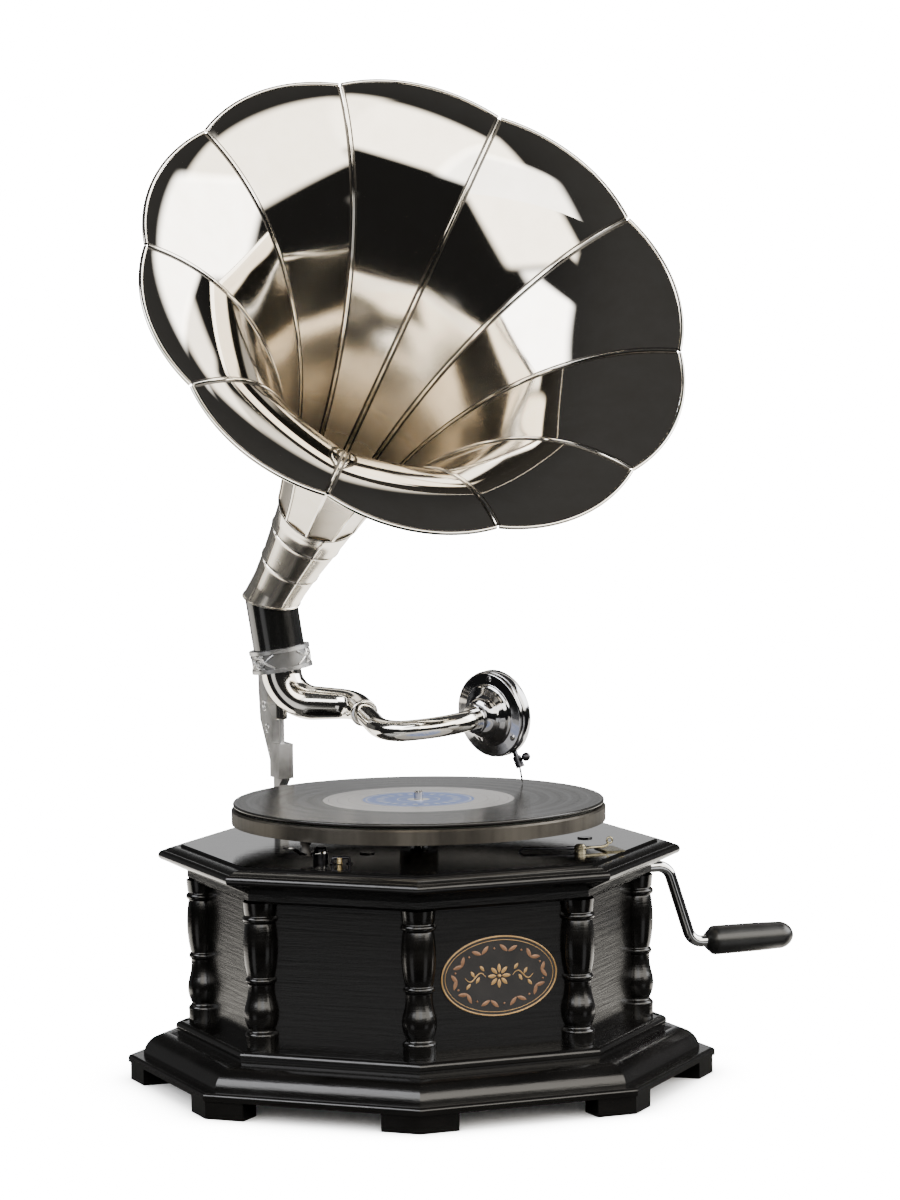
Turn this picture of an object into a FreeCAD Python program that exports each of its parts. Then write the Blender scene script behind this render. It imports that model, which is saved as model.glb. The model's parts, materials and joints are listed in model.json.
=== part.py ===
# Horn gramophone on an eight-sided black cabinet, with spring motor, tonearm and petal horn.
# Millimetres. +Z is up, the floor is z = 0, the turntable spindle stands on the Z axis and the
# front corner of the cabinet points to -Y.
import FreeCAD
import Part
import Sketcher
import math
import os
import re
from FreeCAD import Placement, Rotation, Vector

SIZES = (
    # cabinet, radii are measured to the corners of the octagon
    ("foot_height", 12.0), ("foot_inset", 1.5), ("foot_leg", 27.0), ("foot_depth", 20.0),
    ("slab_corner", 198.5), ("slab_thick", 5.0), ("slab_round", 2.2),
    ("plinth_height", 22.0), ("plinth_inset", 10.5), ("plinth_inner", 132.0),
    ("plinth_shoulder", 170.0), ("plinth_bead", 165.0), ("plinth_top", 160.0),
    ("panel_corner", 146.0), ("panel_thick", 9.0), ("panel_height", 103.0),
    ("column_height", 97.0), ("column_ring", 11.6), ("column_vase", 11.2), ("column_neck", 8.8),
    ("frieze_corner", 156.5), ("frieze_gap", 26.0),
    ("deck_corner", 176.0), ("deck_height", 16.2), ("deck_inner", 150.0), ("board_step", 2.0),
    ("board_corner", 160.5), ("board_thick", 10.2), ("board_clear", 0.3),
    ("plaque_long", 82.0), ("plaque_tall", 53.0), ("plaque_thick", 0.6),
    # turntable
    ("platter_radius", 126.0), ("platter_gap", 14.4), ("platter_rim", 10.0), ("platter_web", 2.4),
    ("platter_wall", 3.0), ("hub_radius", 13.0), ("felt_thick", 1.5), ("felt_radius", 121.5),
    ("record_radius", 125.0), ("record_thick", 2.4), ("label_radius", 37.7), ("label_thick", 0.2),
    ("spindle_radius", 3.5), ("spindle_rise", 6.0), ("spindle_pin", 2.9),
    ("spindle_clear", 0.1), ("turn_clear", 0.05),
    # spring motor
    ("plate_thick", 3.0), ("plate_space", 81.0), ("plate_long", 176.0),
    ("plate_wide", 96.0), ("plate_shift", 26.0), ("pillar_radius", 4.5), ("pillar_inset", 9.0),
    ("bolt_radius", 2.5), ("bolt_head", 5.0), ("bolt_head_height", 0.9),
    ("gear_module", 1.0), ("barrel_teeth", 72.0), ("pinion_teeth", 12.0), ("wheel_teeth", 54.0),
    ("governor_module", 0.8), ("governor_teeth", 60.0), ("gear_backlash", 0.16),
    ("barrel_reach", 62.0), ("barrel_height", 38.0), ("barrel_rise", 13.0), ("barrel_wall", 2.0),
    ("barrel_gear_width", 6.0), ("arbor_radius", 5.0), ("wheel_width", 3.0), ("wheel_rise", 4.0),
    ("shaft_radius", 3.0), ("pivot_radius", 2.0), ("spring_strip", 0.9), ("spring_pitch", 2.2),
    ("spring_turns", 8.0), ("governor_rise", 60.0), ("weight_radius", 4.4), ("weight_orbit", 12.0),
    ("disc_radius", 13.0), ("ratchet_radius", 11.0), ("ratchet_teeth", 12.0),
    ("bevel_module", 1.3333), ("bevel_pinion", 12.0), ("bevel_wheel", 24.0), ("bevel_face", 6.0),
    # crank
    ("crank_height", 131.0), ("crank_rod", 4.0), ("crank_out", 49.8), ("crank_drop", 54.6),
    ("crank_lean", 18.2), ("crank_bend", 11.0), ("grip_length", 67.0), ("grip_radius", 10.1),
    ("grip_clear", 0.08), ("socket_radius", 6.0), ("escutcheon_radius", 9.0),
    ("escutcheon_thick", 1.4),
    # brake and speed lever on the board
    ("brake_radius", 104.0), ("brake_bearing", 232.0), ("brake_long", 33.0), ("lever_thick", 1.8),
    ("lever_wide", 7.0), ("lever_lift", 4.0), ("speed_radius", 122.7), ("speed_bearing", -29.3),
    ("speed_long", 22.0), ("speed_heading", 18.0), ("knob_radius", 3.6), ("knob_height", 3.9),
    # bracket and tonearm
    ("arm_reach", 167.5), ("arm_side", 35.2), ("ring_height", 16.0), ("ring_radius", 21.5),
    ("ring_level", 271.0), ("ring_lean", 8.5), ("web_thick", 6.5), ("block_wide", 11.0),
    ("block_front", 7.5), ("block_back", 10.5), ("web_out", 14.5),
    ("block_top", 211.0), ("pin_radius", 1.75), ("bracket_foot_wide", 30.0),
    ("bracket_foot_tall", 44.0), ("bracket_foot_thick", 5.0), ("bracket_screw", 3.6),
    ("arm_level", 240.0), ("arm_top_radius", 14.6), ("arm_end_radius", 8.7), ("tube_wall", 1.2),
    ("arm_run", 56.0), ("arm_heading", -20.1), ("arm_bend", 25.0), ("mouth_heading", -72.1),
    ("mouth_drop", -11.5), ("mouth_run", 22.0), ("mouth_bend", 24.0), ("arm_clear", 0.35),
    ("neck_radius", 7.2), ("neck_first", 45.0), ("neck_mid_heading", -16.7), ("neck_mid_rise", 6.6),
    ("neck_mid", 44.5), ("neck_last", 28.0), ("neck_bend", 34.0), ("neck_insert", 8.0),
    # soundbox
    ("box_heading", 46.4), ("box_rise", 5.7), ("box_radius", 29.6), ("box_boss", 16.0),
    ("rim_screw", 1.8), ("rim_screw_inset", 4.0), ("rim_screw_clear", 2.2),
    ("box_plate", 3.0), ("box_depth", 11.0), ("box_window", 24.5), ("mica_thick", 0.25),
    ("gasket_wide", 2.6), ("bar_wide", 3.0), ("bar_thick", 2.2), ("bar_angle", 23.6),
    ("chuck_radius", 3.0), ("chuck_long", 8.0), ("needle_radius", 0.65), ("needle_angle", 8.0),
    ("needle_gap", 0.15), ("thumb_radius", 3.1), ("thumb_reach", 8.4),
    # horn
    ("horn_heading", -67.97), ("horn_rise", 38.22), ("elbow_radius", 18.0), ("elbow_wall", 1.6),
    ("elbow_run", 42.0), ("elbow_insert", 14.0), ("throat_heading", -47.9), ("throat_rise", 50.5),
    ("throat_run", 77.6), ("throat_lead", 14.0), ("throat_bend", 50.0), ("throat_joint", 33.8),
    ("horn_sheet", 0.8), ("horn_fit", 0.3), ("joint_bead", 0.9), ("bell_bead", 1.1), ("bead_long", 2.4),
    ("horn_low_radius", 20.3), ("horn_high_radius", 29.0), ("horn_length", 234.0),
    ("horn_rim_radius", 179.2), ("horn_petals", 10.0), ("horn_scallop", 6.0),
    ("petal_flat", 0.9), ("petal_power", 2.5),
    ("horn_phase", 2.8), ("horn_start", 12.2), ("horn_end", 84.0), ("seam_wide", 2.4),
    ("seam_high", 1.7), ("bead_radius", 1.5), ("horn_play", 0.05), ("petal_lift", 0.25),
)

doc = FreeCAD.newDocument("horn_gramophone")
sheet = doc.addObject("Spreadsheet::Sheet", "Sizes")
for row, (alias, number) in enumerate(SIZES, start=1):
    sheet.set("A%d" % row, alias.replace("_", " "))
    sheet.set("B%d" % row, repr(number))
    sheet.setAlias("B%d" % row, alias)
doc.recompute()

NAMES = {alias for alias, number in SIZES}
PARTS = []
XAXIS, YAXIS, ZAXIS = Vector(1, 0, 0), Vector(0, 1, 0), Vector(0, 0, 1)
SIDES = 8
STEP = 360.0 / SIDES
FLAT = "cos(22.5)"


def ex(text):
    """Expression text with every size name pointing at its cell."""
    return re.sub(r"[A-Za-z_]\w*", lambda m: "Sizes." + m[0] if m[0] in NAMES else m[0], text)


def val(text):
    return float(sheet.evalExpression(ex(str(text))))


def new_body(label, place=None):
    body = doc.addObject("PartDesign::Body", label)
    body.Label = label
    if place is not None:
        body.Placement = place
    return body


def sketch(body, role, name, lift=None):
    plane = [f for f in body.Origin.OriginFeatures if f.Role == role][0]
    made = body.newObject("Sketcher::SketchObject", name)
    made.AttachmentSupport = [(plane, "")]
    made.MapMode = "FlatFace"
    if lift is not None:
        made.setExpression("AttachmentOffset.Base.z", ex(lift))
    return made


def pin_point(made, geo, pos, x, y):
    """Hold one sketch point at two expressions."""
    for kind, text, axis in (("DistanceX", x, -2), ("DistanceY", y, -1)):
        size = val(text)
        if abs(size) < 1e-9:
            made.addConstraint(Sketcher.Constraint("PointOnObject", geo, pos, axis))
            continue
        index = made.addConstraint(Sketcher.Constraint(kind, -1, 1, geo, pos, size))
        made.setExpression("Constraints[%d]" % index, ex(text))


def outline(made, corners):
    """Closed outline. A corner is (x, y), or (x, y, mx, my) when an arc through (mx, my) ends there."""
    spots = [Vector(val(c[0]), val(c[1]), 0) for c in corners]
    count = len(corners)
    first = made.GeometryCount
    for i in range(count):
        start, end = spots[i], spots[(i + 1) % count]
        corner = corners[(i + 1) % count]
        if len(corner) == 4:
            middle = Vector(val(corner[2]), val(corner[3]), 0)
            made.addGeometry(Part.Arc(start, middle, end), False)
        else:
            made.addGeometry(Part.LineSegment(start, end), False)
    ends = []
    for i in range(count):
        near_start = made.getPoint(first + i, 1).distanceToPoint(spots[i])
        near_end = made.getPoint(first + i, 2).distanceToPoint(spots[i])
        ends.append((1, 2) if near_start < near_end else (2, 1))
    for i in range(count):
        after = (i + 1) % count
        made.addConstraint(Sketcher.Constraint(
            "Coincident", first + i, ends[i][1], first + after, ends[after][0]))
    for i in range(count):
        pin_point(made, first + i, ends[i][0], corners[i][0], corners[i][1])
        after = corners[(i + 1) % count]
        if len(after) == 4:
            middle = made.addGeometry(Part.Point(Vector(val(after[2]), val(after[3]), 0)), True)
            pin_point(made, middle, 1, after[2], after[3])
            made.addConstraint(Sketcher.Constraint("PointOnObject", middle, 1, first + i))


def circle(made, x, y, radius):
    geo = made.addGeometry(Part.Circle(Vector(val(x), val(y), 0), ZAXIS, val(radius)), False)
    index = made.addConstraint(Sketcher.Constraint("Radius", geo, val(radius)))
    made.setExpression("Constraints[%d]" % index, ex(radius))
    pin_point(made, geo, 3, x, y)


def pad(body, made, length, both=False):
    feature = body.newObject("PartDesign::Pad", made.Name + "_pad")
    feature.Profile = made
    feature.setExpression("Length", ex(length))
    if both:
        feature.SideType = "Symmetric"
    return feature


def pocket(body, made):
    feature = body.newObject("PartDesign::Pocket", made.Name + "_cut")
    feature.Profile = made
    feature.Type = "ThroughAll"
    feature.SideType = "Symmetric"
    return feature


def keep(thing):
    PARTS.append(thing)
    return thing


def turned(label, corners, place=None):
    """A piece turned about its own Z axis from a half outline of radius and height."""
    body = new_body(label, place)
    made = sketch(body, "XZ_Plane", label + "_outline")
    outline(made, corners)
    spin = body.newObject("PartDesign::Revolution", label + "_turn")
    spin.Profile = made
    spin.ReferenceAxis = (made, ["V_Axis"])
    spin.Angle = 360
    return body


def plate(label, corners, lift, length, holes=(), place=None):
    """A flat piece: a closed outline in plan, padded upward from the height lift."""
    body = new_body(label, place)
    made = sketch(body, "XY_Plane", label + "_plan", lift)
    outline(made, corners)
    for hole in holes:
        circle(made, *hole)
    pad(body, made, length)
    return body


def octagon(corner):
    return [("%s * cos(%s)" % (corner, 45 * k), "%s * sin(%s)" % (corner, 45 * k))
            for k in range(SIDES)]


def mitred(label, corners, reach):
    """One length of moulding on the side that faces +X, cut to the mitre at both ends."""
    body = new_body(label)
    made = sketch(body, "XZ_Plane", label + "_section")
    outline(made, corners)
    pad(body, made, "3 * (%s)" % reach, both=True)
    cuts = sketch(body, "XY_Plane", label + "_mitres")
    far = "2 * (%s)" % reach
    slope = "tan(22.5)"
    outline(cuts, [("0", "0"), (far, "%s * %s" % (far, slope)), (far, far), ("0", far)])
    outline(cuts, [("0", "0"), ("0", "-(%s)" % far), (far, "-(%s)" % far),
                   (far, "-(%s) * %s" % (far, slope))])
    doc.recompute()
    pocket(body, cuts)
    doc.recompute()
    return body


def feature(label, shape, place=None):
    made = doc.addObject("Part::Feature", label)
    made.Label = label
    made.Shape = shape
    if place is not None:
        made.Placement = place.multiply(shape.Placement)
    return keep(made)


def around(label, shapes, angles):
    """Copies of one or more shapes at several angles about the spindle, as one group."""
    copies = []
    for angle in angles:
        for shape in shapes:
            copy = shape.copy()
            copy.rotate(Vector(0, 0, 0), ZAXIS, angle)
            copies.append(copy)
    return feature(label, Part.makeCompound(copies))


def heading(turn, rise=0.0):
    """Unit vector from a compass turn about Z, measured from +X, and a rise, in degrees."""
    turn, rise = math.radians(turn), math.radians(rise)
    return Vector(math.cos(turn) * math.cos(rise), math.sin(turn) * math.cos(rise), math.sin(rise))


def frame(base, zdir, xdir):
    """Placement whose own Z and X axes point along the given directions."""
    zdir = Vector(zdir).normalize()
    ydir = zdir.cross(xdir).normalize()
    xdir = ydir.cross(zdir)
    return Placement(base, Rotation(xdir, ydir, zdir, "ZXY"))


def bent_path(points, radii):
    """Straight runs through the points, joined by tangent arcs of the given radii."""
    edges = []
    last = points[0]
    for before, corner, after, radius in zip(points, points[1:], points[2:], radii):
        into = (corner - before).normalize()
        out = (after - corner).normalize()
        turn = into.getAngle(out)
        back = radius * math.tan(turn / 2.0)
        start, end = corner - into * back, corner + out * back
        centre = corner + (out - into).normalize() * (radius / math.cos(turn / 2.0))
        middle = centre + (corner - centre).normalize() * radius
        edges.append(Part.LineSegment(last, start).toShape())
        edges.append(Part.Arc(start, middle, end).toShape())
        last = end
    edges.append(Part.LineSegment(last, points[-1]).toShape())
    return Part.Wire(edges)


def swept(points, radii, start_radius, end_radius):
    """A round bar along a bent path, tapering from one radius to the other."""
    path = bent_path(points, radii)
    first = Part.Wire(Part.makeCircle(start_radius, points[0], points[1] - points[0]))
    last = Part.Wire(Part.makeCircle(end_radius, points[-1], points[-1] - points[-2]))
    shell = Part.BRepOffsetAPI.MakePipeShell(path)
    shell.add(first)
    if abs(start_radius - end_radius) > 1e-6:
        shell.add(last)
    shell.build()
    shell.makeSolid()
    return shell.shape()


def tube(points, radii, start_radius, end_radius, wall):
    outer = swept(points, radii, start_radius, end_radius)
    stretch = 0.5
    into = (points[1] - points[0]).normalize()
    out = (points[-1] - points[-2]).normalize()
    longer = [points[0] - into * stretch] + list(points[1:-1]) + [points[-1] + out * stretch]
    return outer.cut(swept(longer, radii, start_radius - wall, end_radius - wall))


# Heights that several pieces share
FLOOR_TOP = "(foot_height + slab_thick)"
PANEL_FOOT = "(%s + plinth_height)" % FLOOR_TOP
PANEL_TOP = "(%s + panel_height)" % PANEL_FOOT
COLUMN_TOP = "(%s + column_height)" % PANEL_FOOT
BOARD_TOP = "(%s + deck_height + board_step)" % PANEL_TOP
LEDGE = "(%s - board_thick)" % BOARD_TOP
PLATTER_LOW = "(%s + platter_gap)" % BOARD_TOP
PLATTER_TOP = "(%s + platter_rim)" % PLATTER_LOW
RECORD_LOW = "(%s + felt_thick)" % PLATTER_TOP
RECORD_TOP = "(%s + record_thick)" % RECORD_LOW
TOP_PLATE = "(%s - plate_thick)" % LEDGE
LOW_PLATE_TOP = "(%s - plate_space)" % TOP_PLATE
LOW_PLATE = "(%s - plate_thick)" % LOW_PLATE_TOP
PANEL_FACE = "(panel_corner * %s)" % FLAT
FOOT_CORNER = "(slab_corner - foot_inset)"
PLINTH_FOOT = "(slab_corner - plinth_inset)"

SIDE_ANGLES = [22.5 + STEP * k for k in range(SIDES)]
CORNER_ANGLES = [STEP * k for k in range(SIDES)]
CRANK_SIDE, BRACKET_SIDE, PLAQUE_SIDE = 22.5, 112.5, -67.5

# Feet: a corner block under each corner of the slab
reach = ("foot_leg * cos(112.5)", "foot_leg * sin(112.5)")
inward = ("foot_depth * cos(202.5)", "foot_depth * sin(202.5)")
foot = plate("foot", [
    (FOOT_CORNER, "0"),
    (FOOT_CORNER + " + %s" % reach[0], reach[1]),
    (FOOT_CORNER + " + %s + %s" % (reach[0], inward[0]), "%s + %s" % (reach[1], inward[1])),
    (FOOT_CORNER + " + %s + %s" % (reach[0], inward[0]), "-(%s + %s)" % (reach[1], inward[1])),
    (FOOT_CORNER + " + %s" % reach[0], "-(%s)" % reach[1]),
], "0", "foot_height")

# Slab: a full octagon with a rounded upper edge
slab = keep(plate("base_slab", octagon("slab_corner"), "foot_height", "slab_thick"))
doc.recompute()
slab_pad = slab.Tip
edges = ["Edge%d" % (i + 1) for i, e in enumerate(slab_pad.Shape.Edges)
         if all(abs(v.Z - val(FLOOR_TOP)) < 1e-6 for v in e.Vertexes)]
rounding = slab.newObject("PartDesign::Fillet", "base_slab_round")
rounding.Base = (slab_pad, edges)
rounding.setExpression("Radius", ex("slab_round"))
doc.recompute()

# Mitred mouldings and panels, drawn on the side that faces +X
plinth = mitred("plinth", [
    ("plinth_inner * %s" % FLAT, FLOOR_TOP),
    (PLINTH_FOOT + " * %s" % FLAT, FLOOR_TOP),
    (PLINTH_FOOT + " * %s" % FLAT, FLOOR_TOP + " + plinth_height * 0.06"),
    ("plinth_shoulder * %s" % FLAT, FLOOR_TOP + " + plinth_height * 0.64",
     "(%s - (%s - plinth_shoulder) * 0.22) * %s" % (PLINTH_FOOT, PLINTH_FOOT, FLAT),
     FLOOR_TOP + " + plinth_height * 0.42"),
    ("plinth_bead * %s" % FLAT, FLOOR_TOP + " + plinth_height * 0.68"),
    ("plinth_bead * %s" % FLAT, FLOOR_TOP + " + plinth_height * 0.77"),
    ("plinth_top * %s" % FLAT, FLOOR_TOP + " + plinth_height",
     "(plinth_bead + 0.8) * %s" % FLAT, FLOOR_TOP + " + plinth_height * 0.90"),
    ("plinth_inner * %s" % FLAT, PANEL_FOOT),
], PLINTH_FOOT)
panel = mitred("panel", [
    (PANEL_FACE + " - panel_thick", PANEL_FOOT),
    (PANEL_FACE, PANEL_FOOT),
    (PANEL_FACE, PANEL_TOP),
    (PANEL_FACE + " - panel_thick", PANEL_TOP),
], "panel_corner")
frieze = mitred("frieze", [
    (PANEL_FACE, COLUMN_TOP),
    ("(frieze_corner - 1.6) * %s" % FLAT, COLUMN_TOP),
    ("frieze_corner * %s" % FLAT, COLUMN_TOP + " + 1.8"),
    ("frieze_corner * %s" % FLAT, PANEL_TOP),
    (PANEL_FACE, PANEL_TOP),
], "frieze_corner")
deck = mitred("deck", [
    ("deck_inner * %s" % FLAT, PANEL_TOP),
    ("frieze_corner * %s" % FLAT, PANEL_TOP),
    ("(deck_corner - 3) * %s" % FLAT, PANEL_TOP + " + deck_height * 0.47"),
    ("(deck_corner - 3.6) * %s" % FLAT, PANEL_TOP + " + deck_height * 0.87",
     "deck_corner * %s" % FLAT, PANEL_TOP + " + deck_height * 0.69"),
    ("(board_corner + board_clear) * %s" % FLAT, PANEL_TOP + " + deck_height",
     "(deck_corner * 0.5 + board_corner * 0.5) * %s" % FLAT, PANEL_TOP + " + deck_height * 0.975"),
    ("(board_corner + board_clear) * %s" % FLAT, LEDGE),
    ("deck_inner * %s" % FLAT, LEDGE),
], "deck_corner")

# Corner columns, turned and then notched to sit over the corner of the panels
TURNING = (
    (0.000, "column_ring - 0.8", None), (0.085, "column_ring - 0.7", None),
    (0.122, "column_neck + 0.4", ("column_ring - 1.0", 0.112)),
    (0.138, "column_neck", None), (0.150, "column_neck + 0.6", None),
    (0.300, "column_vase - 0.6", ("column_vase + 0.1", 0.225)),
    (0.430, "column_neck", ("column_neck + 0.3", 0.370)),
    (0.445, "column_neck", None), (0.490, "column_neck", ("column_ring - 1.4", 0.4675)),
    (0.505, "column_neck + 0.5", None),
    (0.845, "column_vase - 1.0", ("column_vase + 0.1", 0.680)),
    (0.860, "column_neck + 1.0", None),
    (0.908, "column_neck + 1.2", ("column_ring", 0.884)),
    (0.920, "column_ring - 1.0", None),
    (1.000, "column_ring - 0.3", None),
)
profile = [("0", PANEL_FOOT)]
for share, radius, bow in TURNING:
    corner = (radius, "%s + column_height * %s" % (PANEL_FOOT, share))
    if bow is not None:
        corner += (bow[0], "%s + column_height * %s" % (PANEL_FOOT, bow[1]))
    profile.append(corner)
profile.append(("0", COLUMN_TOP))
column = turned("column", profile)
notch = sketch(column, "XY_Plane", "column_notch")
outline(notch, [("0", "0"), ("-(2 * column_ring)", "2 * column_ring * tan(67.5)"),
                ("-(2 * column_ring)", "-(2 * column_ring * tan(67.5))")])
doc.recompute()
pocket(column, notch)
doc.recompute()

around("feet", [foot.Shape], CORNER_ANGLES)
around("plinth_moulding", [plinth.Shape], SIDE_ANGLES)
around("deck_moulding", [deck.Shape], SIDE_ANGLES)
stand = column.Shape.copy()
stand.translate(Vector(val("panel_corner"), 0, 0))
around("corner_columns", [stand], CORNER_ANGLES)

# The crank side: a hole in its panel and a gap in the frieze above it
crank_z = val("crank_height")
side_turn = Placement(Vector(0, 0, 0), Rotation(ZAXIS, CRANK_SIDE))
hole = Part.makeCylinder(val("socket_radius") + 0.5, 60, Vector(val(PANEL_FACE) - 40, 0, crank_z), XAXIS)
feature("crank_panel", panel.Shape.cut(hole), side_turn)
gap = Part.makeBox(60, val("frieze_gap"), 40,
                   Vector(val(PANEL_FACE) - 20, -val("frieze_gap") / 2, val(COLUMN_TOP) - 10))
crank_frieze = frieze.Shape.cut(gap)
lengths = []
for angle in SIDE_ANGLES:
    copy = (crank_frieze if angle == CRANK_SIDE else frieze.Shape).copy()
    copy.rotate(Vector(0, 0, 0), ZAXIS, angle)
    lengths.append(copy)
feature("frieze_moulding", Part.makeCompound(lengths))
keep(turned("crank_escutcheon", [
    ("crank_rod + 0.4", "0"), ("escutcheon_radius", "0"),
    ("escutcheon_radius", "escutcheon_thick * 0.6"),
    ("escutcheon_radius - 0.9", "escutcheon_thick"), ("crank_rod + 0.4", "escutcheon_thick"),
], frame(heading(CRANK_SIDE) * val(PANEL_FACE) + Vector(0, 0, crank_z), heading(CRANK_SIDE), ZAXIS)))

# Motor board, with the spindle hole and the motor bolt holes
MOTOR_TURN = Placement(Vector(0, 0, 0), Rotation(ZAXIS, CRANK_SIDE))
BOLTS = [("plate_shift %s (plate_long / 2 - pillar_inset)" % sx, "0 %s (plate_wide / 2 - pillar_inset)" % sy)
         for sx in "+-" for sy in "+-"]
board = keep(plate("motor_board", [
    ("board_corner * cos(%s)" % (a - 22.5), "board_corner * sin(%s)" % (a - 22.5))
    for a in CORNER_ANGLES], LEDGE, "board_thick",
    [("0", "0", "spindle_radius + 5.5")] + [(x, y, "bolt_radius + 0.2") for x, y in BOLTS], MOTOR_TURN))

# Oval plate on the front right panel
oval = Part.Ellipse(Vector(0, 0, 0), val("plaque_long") / 2, val("plaque_tall") / 2)
oval_face = Part.Face(Part.Wire(oval.toShape()))
feature("oval_plaque", oval_face.extrude(Vector(0, 0, val("plaque_thick"))),
        frame(heading(PLAQUE_SIDE) * val(PANEL_FACE) + Vector(0, 0, val(PANEL_FOOT) + 50.0),
              heading(PLAQUE_SIDE), heading(PLAQUE_SIDE + 90)))

# Turntable
keep(turned("platter", [
    ("spindle_radius + spindle_clear", BOARD_TOP + " + 6"), ("hub_radius", BOARD_TOP + " + 6"),
    ("hub_radius", PLATTER_TOP + " - platter_web"),
    ("platter_radius - platter_wall", PLATTER_TOP + " - platter_web"),
    ("platter_radius - platter_wall", PLATTER_LOW), ("platter_radius", PLATTER_LOW),
    ("platter_radius", PLATTER_TOP + " - 1.2"), ("platter_radius - 1.2", PLATTER_TOP),
    ("spindle_radius + spindle_clear", PLATTER_TOP)]))
keep(turned("felt_mat", [
    ("spindle_radius + spindle_clear", PLATTER_TOP), ("felt_radius", PLATTER_TOP),
    ("felt_radius", RECORD_LOW), ("spindle_radius + spindle_clear", RECORD_LOW)]))
keep(turned("record", [
    ("spindle_radius + spindle_clear", RECORD_LOW), ("record_radius - 0.8", RECORD_LOW),
    ("record_radius - 0.8", RECORD_TOP, "record_radius", RECORD_LOW + " + record_thick / 2"),
    ("label_radius", RECORD_TOP), ("label_radius", RECORD_TOP + " - label_thick"),
    ("spindle_radius + spindle_clear", RECORD_TOP + " - label_thick")]))
keep(turned("record_label", [
    ("spindle_radius + spindle_clear", RECORD_TOP + " - label_thick"),
    ("label_radius", RECORD_TOP + " - label_thick"), ("label_radius", RECORD_TOP),
    ("spindle_radius + spindle_clear", RECORD_TOP)]))


def tooth_outline(teeth, module, tip_share, root_share, slack):
    """Corner points of one involute tooth about angle zero, as (radius, angle) from root to root."""
    pitch = module * teeth / 2.0
    base = pitch * math.cos(math.radians(20))
    root, tip = pitch - root_share * module, pitch + tip_share * module
    half = math.pi / (2.0 * teeth) - slack / (2.0 * pitch)

    def involute(radius):
        slope = math.acos(min(1.0, base / radius))
        return math.tan(slope) - slope

    def flank(radius):
        return half + involute(pitch) - involute(max(radius, base))

    rise = [max(base, root), (max(base, root) + tip) / 2.0, tip]
    left = [(root, flank(root))] if root < base else []
    left += [(radius, flank(radius)) for radius in rise]
    return left, tip


def gear(teeth, module, width, bore, tip_share, slack, solid_core=False):
    """A spur wheel with a tooth centred on its +X axis, from z = 0 up."""
    teeth = int(round(teeth))
    left, tip = tooth_outline(teeth, module, tip_share, 1.2, slack)
    edges = []
    first = previous = None
    for k in range(teeth):
        mid = 2 * math.pi * k / teeth
        before = [Vector(r * math.cos(mid - a), r * math.sin(mid - a), 0) for r, a in left]
        after = [Vector(r * math.cos(mid + a), r * math.sin(mid + a), 0) for r, a in reversed(left)]
        if previous is not None:
            edges.append(Part.LineSegment(previous, before[0]).toShape())
        else:
            first = before[0]
        for line in (before, after):
            if len(line) == 4:
                ends = (line[0], line[1]) if line is before else (line[2], line[3])
                arc = line[1:] if line is before else line[:3]
            else:
                ends, arc = None, line
            if ends and line is before:
                edges.append(Part.LineSegment(*ends).toShape())
            edges.append(Part.Arc(*arc).toShape())
            if ends and line is after:
                edges.append(Part.LineSegment(*ends).toShape())
            if line is before:
                edges.append(Part.Arc(before[-1], Vector(tip * math.cos(mid), tip * math.sin(mid), 0),
                                      after[0]).toShape())
        previous = after[-1]
    edges.append(Part.LineSegment(previous, first).toShape())
    wheel = Part.Face(Part.Wire(edges)).extrude(Vector(0, 0, width))
    if not solid_core:
        wheel = wheel.cut(Part.makeCylinder(bore, 3 * width, Vector(0, 0, -width)))
    return wheel


def bevel(teeth, mate, module, face, slack):
    """A straight bevel wheel whose cone comes to a point at the origin, teeth below along -Z."""
    cone = math.atan2(teeth, mate)
    pitch = module * teeth / 2.0
    depth = pitch / math.tan(cone)
    tip_share = 0.65
    left, tip = tooth_outline(teeth / math.cos(cone), module, tip_share, 1.15, slack)
    virtual = pitch / math.cos(cone)
    reach = math.hypot(pitch, depth)
    points = []
    for k in range(int(teeth)):
        mid = 2 * math.pi * k / teeth
        pairs = [(r, -a) for r, a in left] + [(r, a) for r, a in reversed(left)]
        for r, a in pairs:
            rise = r - virtual
            ring, level = pitch + rise * math.cos(cone), depth - rise * math.sin(cone)
            turn = mid + a * r / ring
            points.append((ring * depth / level, turn))
    wires = []
    for scale in (1.0, 1.0 - face / reach):
        ring = [Vector(scale * r * math.cos(a), scale * r * math.sin(a), -depth * scale) for r, a in points]
        wires.append(Part.makePolygon(ring + ring[:1]))
    return Part.makeLoft(wires, True, True), depth


MODULE, SLACK = val("gear_module"), val("gear_backlash")
GMODULE = val("governor_module")
PINION, WHEEL, BARREL = val("pinion_teeth"), val("wheel_teeth"), val("barrel_teeth")
GOVERNOR = val("governor_teeth")
TIP = 0.7
low, top = val(LOW_PLATE_TOP), val(TOP_PLATE)

# Plan positions of the motor arbors, with +X toward the crank
spindle_at = Vector(0, 0, 0)
barrel_at = Vector(val("barrel_reach"), 0, 0)
near, far = MODULE * (WHEEL + PINION) / 2.0, MODULE * (BARREL + PINION) / 2.0
lean = math.acos((near ** 2 + barrel_at.x ** 2 - far ** 2) / (2 * near * barrel_at.x))
middle_at = Vector(near * math.cos(lean), near * math.sin(lean), 0)
governor_at = Vector(-GMODULE * (GOVERNOR + PINION) / 2.0, 0, 0)


def meshing(shape, at, level, toward, teeth, gap):
    """Move a wheel to its arbor with a tooth, or a gap, on the line to its neighbour."""
    line = toward - at
    angle = math.degrees(math.atan2(line.y, line.x)) + (180.0 / teeth if gap else 0.0)
    made = shape.copy()
    made.rotate(Vector(0, 0, 0), ZAXIS, angle)
    made.translate(Vector(at.x, at.y, level))
    return made


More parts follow.
